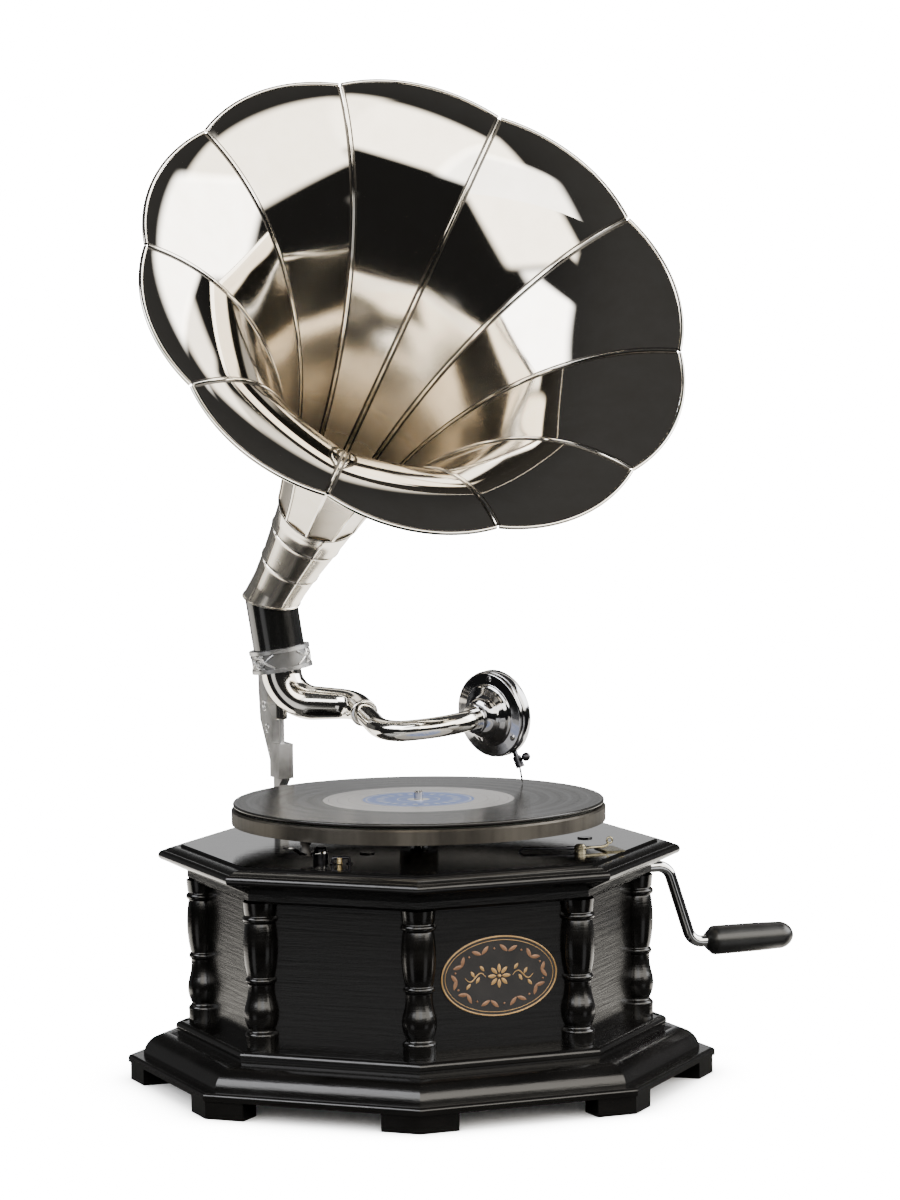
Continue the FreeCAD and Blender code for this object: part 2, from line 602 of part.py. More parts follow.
def stepped(at, steps):
    """An arbor of stacked round steps: (radius, from, to)."""
    made = None
    for radius, start, end in steps:
        step = Part.makeCylinder(radius, end - start, Vector(at.x, at.y, start))
        made = step if made is None else made.fuse(step)
    return made.removeSplitter()


wheel_low = low + val("wheel_rise")
wheel_wide = val("wheel_width")
barrel_low = low + val("barrel_rise")
gear_wide = val("barrel_gear_width")
pivot, shaft = val("pivot_radius"), val("shaft_radius")
play = val("turn_clear")

# Spindle with its pinion, collar and lower pivot
srad = val("spindle_radius")
tip_z = val(RECORD_TOP) + val("spindle_rise")
hub_low = val(BOARD_TOP) + 6.0
pinion = meshing(gear(PINION, MODULE, wheel_wide + 2, 0, TIP, SLACK, True), spindle_at, wheel_low - 1,
                 middle_at, PINION, True)
pin = val("spindle_pin")
spindle = stepped(spindle_at, [(pivot, val(LOW_PLATE) + 0.2, low + 0.4), (srad, low + 0.4, val(RECORD_TOP)),
                               (srad + 2.6, hub_low - 2.4, hub_low), (pin, val(RECORD_TOP), tip_z - 1.0)])
spindle = spindle.fuse(Part.makeCone(pin, pin * 0.6, 1.0, Vector(0, 0, tip_z - 1.0)))
feature("spindle", spindle.fuse(pinion), MOTOR_TURN)
governor_low = low + val("governor_rise")
feature("governor_wheel", meshing(gear(GOVERNOR, GMODULE, wheel_wide, srad + 0.02, TIP, SLACK),
                                  spindle_at, governor_low, governor_at, GOVERNOR, False), MOTOR_TURN)

# Intermediate arbor: wheel below, pinion meshing with the barrel above
feature("intermediate_wheel", meshing(gear(WHEEL, MODULE, wheel_wide, shaft + 0.02, TIP, SLACK),
                                      middle_at, wheel_low, spindle_at, WHEEL, False), MOTOR_TURN)
arbor = stepped(middle_at, [(pivot, val(LOW_PLATE) + 0.2, low + 0.4), (shaft, low + 0.4, top - 0.4),
                            (pivot, top - 0.4, val(LEDGE) - 0.2)])
arbor = arbor.fuse(meshing(gear(PINION, MODULE, gear_wide + 2, 0, TIP, SLACK, True), middle_at,
                           barrel_low - 1, barrel_at, PINION, True))
feature("intermediate_arbor", arbor, MOTOR_TURN)

# Spring barrel: toothed drum with a pressed lid, spiral spring inside
arad = val("arbor_radius")
root = MODULE * BARREL / 2.0 - 1.2 * MODULE
wall = val("barrel_wall")
drum_high = val("barrel_height")
drum = meshing(gear(BARREL, MODULE, gear_wide, 0, TIP, SLACK, True), barrel_at, barrel_low,
               middle_at, BARREL, False)
drum = drum.fuse(Part.makeCylinder(root - 0.3, drum_high, Vector(barrel_at.x, 0, barrel_low)))
inside = root - 0.3 - wall
drum = drum.cut(Part.makeCylinder(inside, drum_high, Vector(barrel_at.x, 0, barrel_low + wall)))
drum = drum.cut(Part.makeCylinder(arad + play, 4 * wall, Vector(barrel_at.x, 0, barrel_low - 2 * wall)))
lid = Part.makeCylinder(inside, wall, Vector(barrel_at.x, 0, barrel_low + drum_high - wall))
lid_bore = Part.makeCylinder(arad + play, 4 * wall, Vector(barrel_at.x, 0, barrel_low + drum_high - 3 * wall))
lid = lid.cut(lid_bore)
feature("spring_barrel", Part.makeCompound([drum, lid]), MOTOR_TURN)


def spiral(turns, start, pitch, thick):
    """A flat spiral band drawn with half circles about two alternating centres."""
    inner, outer = [], []
    for k in range(2 * turns):
        centre = Vector(0 if k % 2 == 0 else pitch / 2.0, 0, 0)
        sign = 1 if k % 2 == 0 else -1
        radius = start + k * pitch / 2.0
        for radius_now, edges in ((radius, inner), (radius + thick, outer)):
            a = centre + Vector(sign * radius_now, 0, 0)
            b = centre + Vector(0, sign * radius_now, 0)
            c = centre - Vector(sign * radius_now, 0, 0)
            edges.append((a, b, c))
    chain = [Part.Arc(a, b, c).toShape() for a, b, c in inner]
    chain.append(Part.LineSegment(inner[-1][2], outer[-1][2]).toShape())
    chain += [Part.Arc(c, b, a).toShape() for a, b, c in reversed(outer)]
    chain.append(Part.LineSegment(outer[0][0], inner[0][0]).toShape())
    return Part.Face(Part.Wire(chain))


coil = spiral(int(val("spring_turns")), arad + 2.0, val("spring_pitch"), val("spring_strip"))
coil_high = drum_high - 2 * wall - 1.0
coil = coil.extrude(Vector(0, 0, coil_high))
coil.translate(Vector(barrel_at.x, 0, barrel_low + wall))
feature("mainspring", coil, MOTOR_TURN)

# Winding arbor with its bevel wheel and ratchet
barrel_top = barrel_low + drum_high
ratchet_low, ratchet_high = barrel_top + 0.6, 2.6
feature("winding_arbor", stepped(barrel_at, [
    (pivot + 1, val(LOW_PLATE) + 0.2, low + 0.4), (arad, low + 0.4, barrel_top + 0.4),
    (pivot + 1, barrel_top + 0.4, val(LEDGE) - 0.2)]), MOTOR_TURN)
teeth = int(val("ratchet_teeth"))
tips = []
for k in range(teeth):
    turn = 2 * math.pi * k / teeth
    drop = turn + 2 * math.pi / teeth * 0.12
    size = val("ratchet_radius")
    tips.append(Vector(size * math.cos(turn), size * math.sin(turn), 0))
    tips.append(Vector((size - 2.2) * math.cos(drop), (size - 2.2) * math.sin(drop), 0))
ratchet = Part.Face(Part.makePolygon(tips + tips[:1])).extrude(Vector(0, 0, ratchet_high))
ratchet = ratchet.cut(Part.makeCylinder(pivot + 1.02, 20, Vector(0, 0, -5)))
ratchet.translate(Vector(barrel_at.x, 0, ratchet_low))
feature("ratchet_wheel", ratchet, MOTOR_TURN)

BPINION, BWHEEL = val("bevel_pinion"), val("bevel_wheel")
big, big_depth = bevel(BWHEEL, BPINION, val("bevel_module"), val("bevel_face"), SLACK)
hub_top = crank_z - big_depth
wheel_hub_low = ratchet_low + ratchet_high
hub = Part.makeCylinder(9.0, hub_top - wheel_hub_low, Vector(0, 0, wheel_hub_low - crank_z))
big = big.fuse(hub).cut(Part.makeCylinder(pivot + 1.02, 60, Vector(0, 0, -40)))
big.rotate(Vector(0, 0, 0), ZAXIS, 180.0 / BWHEEL)
big.translate(Vector(barrel_at.x, 0, crank_z))
feature("winding_wheel", big, MOTOR_TURN)
small, small_depth = bevel(BPINION, BWHEEL, val("bevel_module"), val("bevel_face"), SLACK)
small = small.cut(Part.makeCylinder(shaft + 0.02, 60, Vector(0, 0, -40)))
small.rotate(Vector(0, 0, 0), YAXIS, -90)
small.translate(Vector(barrel_at.x, 0, crank_z))
feature("winding_pinion", small, MOTOR_TURN)

# Click on its post beside the ratchet
post_at = barrel_at + Vector(-12.0, -20.0, 0)
line = (barrel_at - post_at)
nose = post_at + line * ((line.Length - val("ratchet_radius") - 0.5) / line.Length)
across = Vector(-line.y, line.x, 0).normalize()
click = Part.Face(Part.makePolygon([
    post_at + across * 3, nose + across * 1.0, nose - across * 1.4, post_at - across * 3,
    post_at + across * 3])).extrude(Vector(0, 0, 2.0))
click = click.fuse(Part.makeCylinder(4.0, 2.0, post_at))
click = click.cut(Part.makeCylinder(pivot + play, 20, post_at - Vector(0, 0, 5)))
click.translate(Vector(0, 0, ratchet_low + 0.3))
feature("click", click, MOTOR_TURN)

# Governor: shaft with pinion, three weights on leaf springs and a brake disc
gshaft = stepped(governor_at, [
    (pivot, val(LOW_PLATE) + 0.2, low + 0.4), (shaft - 0.6, low + 0.4, top - 0.4),
    (pivot, top - 0.4, val(LEDGE) - 0.2), (shaft + 3, low + 16, low + 20), (shaft + 2, low + 42, low + 46)])
gshaft = gshaft.fuse(meshing(gear(PINION, GMODULE, wheel_wide + 2, 0, TIP, SLACK, True), governor_at,
                             governor_low - 1, spindle_at, PINION, True))
feature("governor_shaft", gshaft, MOTOR_TURN)
orbit, ball = val("weight_orbit"), val("weight_radius")
weights = []
for k in range(3):
    out = heading(120 * k + 60)
    spot = governor_at + out * orbit + Vector(0, 0, low + 31)
    side = heading(120 * k + 150)
    weights.append(Part.makeSphere(ball, spot))
    inner_low = governor_at + out * (shaft + 3.2) + Vector(0, 0, low + 18)
    outer_low = spot - out * (ball + 0.45)
    inner_high = governor_at + out * (shaft + 2.2) + Vector(0, 0, low + 44)
    strip = Part.Face(Part.makePolygon([
        inner_low - side * 2, inner_low + side * 2, outer_low + side * 2, outer_low - side * 2,
        inner_low - side * 2])).extrude(out * 0.4)
    strip_high = Part.Face(Part.makePolygon([
        inner_high - side * 2, inner_high + side * 2, outer_low + side * 2, outer_low - side * 2,
        inner_high - side * 2])).extrude(out * 0.4)
    weights.append(strip.fuse(strip_high))
feature("governor_weights", Part.makeCompound(weights), MOTOR_TURN)
disc = Part.makeCylinder(val("disc_radius"), 1.6, governor_at + Vector(0, 0, low + 48))
disc = disc.cut(Part.makeCylinder(shaft - 0.58, 20, governor_at + Vector(0, 0, low + 40)))
feature("governor_disc", disc, MOTOR_TURN)

# Motor plates, pillars and bolts
HOLES = [
    ("0", "0", "pivot_radius + turn_clear", "spindle_radius + turn_clear"),
    ("barrel_reach", "0", "pivot_radius + 1 + turn_clear", "pivot_radius + 1 + turn_clear"),
    (repr(middle_at.x), repr(middle_at.y), "pivot_radius + turn_clear", "pivot_radius + turn_clear"),
    (repr(governor_at.x), "0", "pivot_radius + turn_clear", "pivot_radius + turn_clear"),
]
PLATE = [("plate_shift %s plate_long / 2" % sx, "0 %s plate_wide / 2" % sy)
         for sx, sy in ("++", "-+", "--", "+-")]
low_holes = [(x, y, r) for x, y, r, q in HOLES]
keep(plate("motor_low_plate", PLATE, LOW_PLATE, "plate_thick", low_holes, MOTOR_TURN))
upper = plate("upper_plate", PLATE, TOP_PLATE, "plate_thick",
              [(x, y, q) for x, y, r, q in HOLES] + [(x, y, "bolt_radius + turn_clear") for x, y in BOLTS])
doc.recompute()
lug_x = val("barrel_reach") + 27.0
lug = Part.makeBox(3.0, 22.0, top - crank_z + 11.0, Vector(lug_x, -11, crank_z - 11))
lug = lug.cut(Part.makeCylinder(shaft + play, 40, Vector(lug_x - 20, 0, crank_z), XAXIS))
post = Part.makeCylinder(pivot, top - ratchet_low + 0.2, post_at + Vector(0, 0, ratchet_low - 0.2))
feature("motor_top_plate", upper.Shape.fuse([lug, post]).removeSplitter(), MOTOR_TURN)
pillars, bolts = [], []
for x, y in BOLTS:
    spot = Vector(val(x), val(y), 0)
    pillars.append(Part.makeCylinder(val("pillar_radius"), top - low, spot + Vector(0, 0, low)).cut(
        Part.makeCylinder(val("bolt_radius") + 0.05, 16, spot + Vector(0, 0, top - 15))))
    shank = Part.makeCylinder(val("bolt_radius"), val(BOARD_TOP) - top + 12, spot + Vector(0, 0, top - 12))
    cap = Part.makeCylinder(val("bolt_head"), val("bolt_head_height"), spot + Vector(0, 0, val(BOARD_TOP)))
    slot = Part.makeBox(4 * val("bolt_head"), 1.2, 1.0, spot + Vector(
        -2 * val("bolt_head"), -0.6, val(BOARD_TOP) + val("bolt_head_height") * 0.5))
    bolts.append(shank.fuse(cap).cut(slot))
feature("motor_pillars", Part.makeCompound(pillars), MOTOR_TURN)
feature("motor_bolts", Part.makeCompound(bolts), MOTOR_TURN)

# Crank: winding shaft with its socket, bent rod and loose grip, along +X of the crank side
CRANK_TURN = Placement(Vector(0, 0, crank_z), Rotation(ZAXIS, CRANK_SIDE))
rod_r = val("crank_rod")
socket_r = val("socket_radius")
face_x = val(PANEL_FACE)
shaft_start = barrel_at.x + small_depth * (1 - val("bevel_face") / math.hypot(small_depth, big_depth))
socket_start = lug_x + 3.0 + 0.4
shaft_bar = Part.makeCylinder(shaft, socket_start - shaft_start, Vector(shaft_start, 0, 0), XAXIS)
socket_end = face_x - 2.0
socket = Part.makeCylinder(socket_r, socket_end - socket_start, Vector(socket_start, 0, 0), XAXIS)
bore = Part.makeCylinder(rod_r + 0.05, 60, Vector(socket_start + 8, 0, 0), XAXIS)
feature("winding_shaft", shaft_bar.fuse(socket).cut(bore), CRANK_TURN)
knee = Vector(face_x + val("crank_out"), 0, 0)
ankle = knee + Vector(val("crank_lean"), 0, -val("crank_drop"))
grip_start = ankle + Vector(11.0, 0, 0)
grip_end = grip_start + Vector(val("grip_length"), 0, 0)
feature("crank_rod", swept([Vector(socket_start + 8.2, 0, 0), knee, ankle, grip_end - Vector(6, 0, 0)],
                           [val("crank_bend")] * 2, rod_r, rod_r), CRANK_TURN)
grip_place = CRANK_TURN.multiply(Placement(grip_start, Rotation(ZAXIS, XAXIS)))
keep(turned("crank_grip", [
    ("crank_rod + grip_clear", "0"), ("crank_rod + 1.4", "0"),
    ("grip_radius", "grip_length * 0.08"),
    ("grip_radius * 0.985", "grip_length * 0.50", "grip_radius * 0.998", "grip_length * 0.29"),
    ("grip_radius * 0.93", "grip_length * 0.82", "grip_radius * 0.965", "grip_length * 0.67"),
    ("grip_radius * 0.12", "grip_length", "grip_radius * 0.67", "grip_length * 0.945"),
    ("0", "grip_length"), ("0", "grip_length - 5"), ("crank_rod + grip_clear", "grip_length - 5"),
], grip_place))

# Brake lever with its pad, turning on a shouldered screw
board_top = val(BOARD_TOP)
lift, thick = val("lever_lift"), val("lever_thick")
brake_at = heading(val("brake_bearing")) * val("brake_radius") + Vector(0, 0, board_top)
BRAKE = frame(brake_at, ZAXIS, heading(val("brake_bearing")))
keep(turned("brake_screw", [
    ("0", "0"), ("5", "0"), ("5", "lever_lift - 0.1"), ("2.2", "lever_lift - 0.1"),
    ("2.2", "lever_lift + lever_thick + 0.1"), ("4.2", "lever_lift + lever_thick + 0.1"),
    ("4.2", "lever_lift + lever_thick + 1.4"), ("3.0", "lever_lift + lever_thick + 2.2"),
    ("0", "lever_lift + lever_thick + 2.2")], BRAKE))
pad_x = val("platter_radius - platter_wall") - val("brake_radius") - 3.6 - 0.4
long, wide = val("brake_long"), val("lever_wide")
blade = Part.makeBox(long, wide, thick, Vector(0, -wide / 2, lift))
blade = blade.fuse([Part.makeCylinder(wide / 2 + 1.6, thick, Vector(0, 0, lift)),
                    Part.makeCylinder(wide / 2, thick, Vector(long, 0, lift)),
                    Part.makeCylinder(3.6, val(PLATTER_TOP + " - platter_web") - 1.2 - board_top - lift,
                                      Vector(pad_x, 0, lift))])
blade = blade.cut(Part.makeCylinder(2.2 + play, 20, Vector(0, 0, lift - 5)))
feature("brake_lever", blade.removeSplitter(), BRAKE)

# Speed lever, its knob and the scale plate under the pointer
speed_at = heading(val("speed_bearing")) * val("speed_radius") + Vector(0, 0, board_top)
SPEED = frame(speed_at, ZAXIS, heading(val("speed_heading")))
reach = val("speed_long")
pointer = Part.Face(Part.makePolygon([
    Vector(-4, -4, 1.6), Vector(reach - 6, -2.6, 1.6), Vector(reach + 2, 0, 1.6), Vector(reach - 6, 2.6, 1.6),
    Vector(-4, 4, 1.6), Vector(-4, -4, 1.6)])).extrude(Vector(0, 0, 1.6))
pointer = pointer.cut(Part.makeCylinder(2.0 + play, 20, Vector(0, 0, -5)))
pointer = pointer.fuse(Part.makeCylinder(2.0, 7.0, Vector(reach - 7, 0, 1.6)))
feature("speed_lever", pointer, SPEED)
keep(turned("speed_pivot", [
    ("0", "0"), ("4", "0"), ("4", "1.5"), ("2", "1.5"), ("2", "3.3"), ("knob_radius", "3.3"),
    ("knob_radius", "knob_height"), ("knob_radius - 1", "knob_height + 1"), ("0", "knob_height + 1")], SPEED))
scale_plate = Part.makeBox(13, 24, 1.0, Vector(reach - 8, -12, 0))
feature("speed_scale", scale_plate, SPEED)

# Bracket: foot on the back left panel, web, pivot block and ring, cast as one piece
arm_reach = val("arm_reach")
arm_foot = Rotation(ZAXIS, BRACKET_SIDE).multVec(Vector(arm_reach, val("arm_side"), 0))
BRACKET = Placement(arm_foot, Rotation(ZAXIS, BRACKET_SIDE))
ring_z = val("ring_level")
foot_x = face_x - arm_reach
nose_x = val("deck_corner") * math.cos(math.radians(22.5)) - arm_reach
foot_thick = val("bracket_foot_thick")
foot_top = val(COLUMN_TOP) - 6.0
foot_low = foot_top - val("bracket_foot_tall")
back = val("ring_radius") + 17.0
block_top = val("block_top")
record_z = val(RECORD_TOP)
block_front = val("block_front")
web_back = max(nose_x + val("web_out"), val("block_back") - 1.0)
web = [
    (foot_x + 1, foot_low + 4), (foot_x + 27, foot_low + 13), (nose_x + 9, foot_low + 32),
    (nose_x + val("web_out"), val(PANEL_TOP) + 8), (web_back, record_z), (web_back + 10.5, record_z + 14),
    (back - 3, block_top + 14), (back - 0.5, ring_z - 26), (back, ring_z - 4), (back - 7, ring_z + 3),
    (val("ring_radius") - 4, ring_z + 3), (val("ring_radius") - 4, ring_z - 12),
    (val("arm_top_radius") + 5, ring_z - 34), (val("block_back"), block_top + 16),
    (val("block_back"), block_top), (-block_front, block_top), (-block_front, record_z - 2),
    (nose_x + 3, record_z - 7), (nose_x + 3, val(PANEL_TOP) - 2),
    (nose_x - 3, val(COLUMN_TOP) - 5), (foot_x + 1, foot_top - 2),
]
web_thick = val("web_thick")
casting = Part.Face(Part.makePolygon([Vector(x, -web_thick / 2, z) for x, z in web + web[:1]]))
casting = casting.extrude(Vector(0, web_thick, 0))
block_wide = val("block_wide")
casting = casting.fuse([
    Part.makeBox(block_front + val("block_back"), block_wide, block_top - record_z + 2,
                 Vector(-block_front, -block_wide / 2, record_z - 2)),
    Part.makeBox(foot_thick, val("bracket_foot_wide"), foot_top - foot_low,
                 Vector(foot_x, 7.5 - val("bracket_foot_wide"), foot_low))])
casting.Placement = BRACKET
LEAN = Placement(arm_foot + Vector(0, 0, ring_z), Rotation(YAXIS, -val("ring_lean")))
ring_high = val("ring_height")
ring = Part.makeCylinder(val("ring_radius") - 1.0, ring_high, Vector(0, 0, -ring_high / 2))
for edge_z in (-ring_high / 2, ring_high / 2 - 2.6):
    ring = ring.fuse(Part.makeCylinder(val("ring_radius"), 2.6, Vector(0, 0, edge_z)))
ring.Placement = LEAN
casting = casting.fuse(ring).removeSplitter()
ledge_z = 1.5
socket_cut = Part.makeCylinder(val("elbow_radius") + val("horn_play"), 40, Vector(0, 0, ledge_z))
socket_cut.Placement = LEAN
bore_low = arm_foot + Vector(0, 0, ring_z - 30)
arm_bore = Part.makeCylinder(val("arm_top_radius") + val("arm_clear"), 60, bore_low)
pin_low = block_top - 15.0
pin_hole = Part.makeCylinder(val("pin_radius") + 0.02, 40, arm_foot + Vector(0, 0, pin_low))
casting = casting.cut([socket_cut, arm_bore, pin_hole])
screw_r = val("bracket_screw")
screws = []
bracket_panel = panel.Shape.copy()
bracket_panel.rotate(Vector(0, 0, 0), ZAXIS, BRACKET_SIDE)
for sy in (-val("bracket_foot_wide") + 12.5, -val("web_thick") / 2 - screw_r - 1.0):
    for sz in (foot_low + 5.5, foot_top - 5.5):
        spot = Vector(foot_x + foot_thick, sy, sz)
        head = Part.makeCylinder(screw_r, 1.6, spot, XAXIS).fuse(
            Part.makeCylinder(1.6, foot_thick + 6.0, spot - XAXIS * (foot_thick + 6.0), XAXIS))
        slot = Part.makeBox(0.8, 3 * screw_r, 0.9, spot + Vector(0.9, -1.5 * screw_r, -0.45))
        screws.append(head.cut(slot))
        drill = Part.makeCylinder(1.65, foot_thick + 6.5, spot - XAXIS * (foot_thick + 6.2), XAXIS)
        drill.Placement = BRACKET
        casting = casting.cut(drill)
        bracket_panel = bracket_panel.cut(drill)
feature("bracket_casting", casting)
plain_panels = []
for angle in SIDE_ANGLES:
    if angle not in (CRANK_SIDE, BRACKET_SIDE):
        copy = panel.Shape.copy()
        copy.rotate(Vector(0, 0, 0), ZAXIS, angle)
        plain_panels.append(copy)
feature("side_panels", Part.makeCompound(plain_panels + [bracket_panel]))
feature("bracket_screws", Part.makeCompound(screws), BRACKET)
pin_top = val("arm_level") - 7.0
pin_foot = arm_foot + Vector(0, 0, pin_low)
feature("pivot_pin", Part.makeCylinder(val("pin_radius"), pin_top - pin_low, pin_foot))

# Tonearm: tapered tube turning in the ring on the pivot pin
knee_at = arm_foot + Vector(0, 0, val("arm_level"))
run_way = heading(val("arm_heading"))
mouth_way = heading(val("mouth_heading"), val("mouth_drop"))
elbow_at = knee_at + run_way * val("arm_run")
mouth_at = elbow_at + mouth_way * val("mouth_run")
arm_top = arm_foot + Vector(0, 0, ring_z - 4.0)
arm_points = [arm_top, knee_at, elbow_at, mouth_at]
arm_bends = [val("arm_bend"), val("mouth_bend")]
arm_wall = val("tube_wall")
arm = swept(arm_points, arm_bends, val("arm_top_radius"), val("arm_end_radius"))
boss_low = pin_top - 5.0
arm = arm.fuse(Part.makeCylinder(4.0, val("arm_level") + 1.0 - boss_low, arm_foot + Vector(0, 0, boss_low)))
past = [arm_points[0] + ZAXIS * 0.5] + arm_points[1:3] + [mouth_at + mouth_way * 0.5]
arm = arm.cut(swept(past, arm_bends, val("arm_top_radius") - arm_wall, val("arm_end_radius") - arm_wall))
arm = arm.cut(Part.makeCylinder(val("pin_radius") + play, 5.3, arm_foot + Vector(0, 0, boss_low - 0.1)))
feature("arm_tube", arm)

# Gooseneck and soundbox, tipping up about the mouth of the arm
mid_way = heading(val("neck_mid_heading"), val("neck_mid_rise"))
box_way = heading(val("box_heading"), val("box_rise"))
first_bend = mouth_at + mouth_way * val("neck_first")
second_bend = first_bend + mid_way * val("neck_mid")
box_at = second_bend + box_way * (val("neck_last") + val("box_boss"))
neck_end = box_at - box_way * 2.0
feature("gooseneck", tube([mouth_at - mouth_way * val("neck_insert"), first_bend, second_bend, neck_end],
                          [val("neck_bend")] * 2, val("neck_radius"), val("neck_radius"), arm_wall))
BOX = frame(box_at, box_way, heading(val("box_heading") - 90))
SCREW_RING = "(box_radius - rim_screw_inset)"


def stepped_back(share):
    """Radius at a share of the way from the neck to the step that clears the rim screws."""
    return "neck_radius + (%s - rim_screw - rim_screw_clear - neck_radius) * %s" % (SCREW_RING, share)


keep(turned("soundbox_back", [
    ("neck_radius + turn_clear", "-box_boss"), ("neck_radius + 3", "-box_boss"),
    ("neck_radius + 3.4", "-box_boss + 2.4"), ("neck_radius + 2.2", "-box_boss + 3.2"),
    (stepped_back(0.583), "-box_boss * 0.36", stepped_back(0.444), "-box_boss * 0.62"),
    (stepped_back(0.806), "-box_boss * 0.22"), (stepped_back(0.861), "-box_boss * 0.10"),
    (stepped_back(0.958), "-box_boss * 0.06"), (stepped_back(1.0), "0"),
    ("box_radius - 0.8", "0"), ("box_radius", "0.8"), ("box_radius", "box_plate"),
    ("neck_radius + turn_clear", "box_plate")], BOX))
rim = turned("soundbox_rim", [
    ("box_radius - 3.2", "box_plate"), ("box_radius + 0.2", "box_plate"),
    ("box_radius + 0.6", "box_plate + 0.8"), ("box_radius + 0.6", "box_depth - 1.4"),
    ("box_radius - 0.6", "box_depth"), ("box_window", "box_depth"), ("box_window", "box_depth - 2"),
    ("box_radius - 3.2", "box_depth - 2")])
doc.recompute()
tilt = math.radians(val("bar_angle"))
bar_way = Vector(math.sin(tilt), math.cos(tilt), 0)
bar_low = val("box_depth") - 1.7
bar_wide, bar_thick = val("bar_wide"), val("bar_thick")
bar_turn = Placement(Vector(0, 0, 0), Rotation(ZAXIS, 90 - val("bar_angle")))
slot = Part.makeBox(40, bar_wide + 0.8, 6, Vector(10, -bar_wide / 2 - 0.4, bar_low - 0.2))
slot.Placement = bar_turn
feature("soundbox_ring", rim.Shape.cut(slot), BOX)
mica = "(box_plate + (box_depth - 2 - box_plate - mica_thick) / 2)"
gaskets = []
for start, end in ((val("box_plate"), val(mica)), (val(mica + " + mica_thick"), val("box_depth - 2"))):
    outer_r = val("box_radius - 3.3")
    band = Part.makeCylinder(outer_r, end - start, Vector(0, 0, start))
    gaskets.append(band.cut(Part.makeCylinder(outer_r - val("gasket_wide"), 20, Vector(0, 0, -2))))
feature("soundbox_gaskets", Part.makeCompound(gaskets), BOX)
mica_face = mica + " + mica_thick"
keep(turned("diaphragm", [("0", mica), ("box_radius - 3.3", mica), ("box_radius - 3.3", mica_face),
                          ("0", mica_face)], BOX))
chuck_start, chuck_end = val("box_radius") + 3.4, val("box_radius") + 3.4 + val("chuck_long")
bar = Part.makeBox(chuck_start + 3, bar_wide, bar_thick, Vector(-1.5, -bar_wide / 2, bar_low))
chuck_z = bar_low + bar_thick / 2
chuck = Part.makeCylinder(val("chuck_radius"), val("chuck_long"), Vector(chuck_start, 0, chuck_z), XAXIS)
stem_low = val(mica + " + mica_thick")
stem = Part.makeCylinder(1.2, bar_low - stem_low + 0.5, Vector(0, 0, stem_low))
bar = bar.fuse([chuck, stem])
bar.Placement = bar_turn
needle_tilt = math.radians(val("needle_angle"))
needle_way = Vector(math.sin(needle_tilt), math.cos(needle_tilt), 0)
needle_top = bar_way * (chuck_end - 3.0) + Vector(0, 0, chuck_z)
top_world, way_world = BOX.multVec(needle_top), BOX.Rotation.multVec(needle_way)
needle_long = (top_world.z - val(RECORD_TOP) - val("needle_gap")) / -way_world.z
needle_r = val("needle_radius")
point = 3.0
bar = bar.cut(Part.makeCylinder(needle_r + 0.03, 20, needle_top, needle_way))
screw_at = bar_way * (chuck_start + val("chuck_long") * 0.4) + Vector(0, 0, chuck_z)
screw_way = Vector(math.cos(tilt), -math.sin(tilt), 0)
bar = bar.cut(Part.makeCylinder(1.1 + play, 20, screw_at + screw_way * 0.7, screw_way))
feature("stylus_bar", bar, BOX)
needle = Part.makeCylinder(needle_r, needle_long - point, needle_top, needle_way).fuse(
    Part.makeCone(needle_r, 0.08, point, needle_top + needle_way * (needle_long - point), needle_way))
feature("needle", needle, BOX)
thumb = Part.makeCylinder(1.1, val("thumb_reach") - 0.9, screw_at + screw_way * 0.9, screw_way).fuse(
    Part.makeSphere(val("thumb_radius"), screw_at + screw_way * val("thumb_reach")))
feature("needle_screw", thumb, BOX)
heads = []
for turn in (35, 155, 275):
    spot = heading(turn) * val(SCREW_RING)
    heads.append(Part.makeCylinder(val("rim_screw"), 1.1, spot - Vector(0, 0, 1.1)).cut(
        Part.makeBox(6, 0.6, 0.6, spot - Vector(3, 0.3, 1.1))))
feature("soundbox_screws", Part.makeCompound(heads), BOX)

# Horn: black elbow in the ring, two tapered neck lengths, petals, seams and a beaded rim
lean_way = LEAN.Rotation.multVec(ZAXIS)
horn_way = heading(val("horn_heading"), val("horn_rise"))
elbow_foot = LEAN.Base + lean_way * (ledge_z + 0.05)
elbow_knee = LEAN.Base + lean_way * val("elbow_run")
throat_way = heading(val("throat_heading"), val("throat_rise"))
joint_at = elbow_knee + throat_way * val("throat_joint")
throat_turn = elbow_knee + throat_way * val("throat_run")
bell_at = throat_turn + horn_way * val("throat_lead")
mitre_way = (lean_way + throat_way).normalize()
THROAT = frame(elbow_knee, throat_way, ZAXIS.cross(throat_way))
HORN = frame(bell_at, horn_way, ZAXIS.cross(horn_way))
sheet_t = val("horn_sheet")
low_r, high_r = val("horn_low_radius"), val("horn_high_radius")


def beyond(shape, way):
    """The part of a shape on the side of the mitre at the elbow that the given direction points to."""
    reach = 2 * (val("elbow_run") + val("throat_run"))
    space = Part.makeBox(2 * reach, 2 * reach, reach, Vector(-reach, -reach, 0))
    space.Placement = frame(elbow_knee, way, YAXIS.cross(way))
    return shape.common(space)


def mitred_bar(radius, extra):
    """Round bar from the ring to the mitre and on into the neck, longer by extra at both ends."""
    past = 2 * val("elbow_radius")
    run = (elbow_knee - elbow_foot).Length
    below = Part.makeCylinder(radius, run + past + extra, elbow_foot - lean_way * extra, lean_way)
    rise = past + val("elbow_insert") + extra
    above = Part.makeCylinder(radius, rise, elbow_knee - throat_way * past, throat_way)
    return beyond(below, mitre_way * -1).fuse(beyond(above, mitre_way)).removeSplitter()


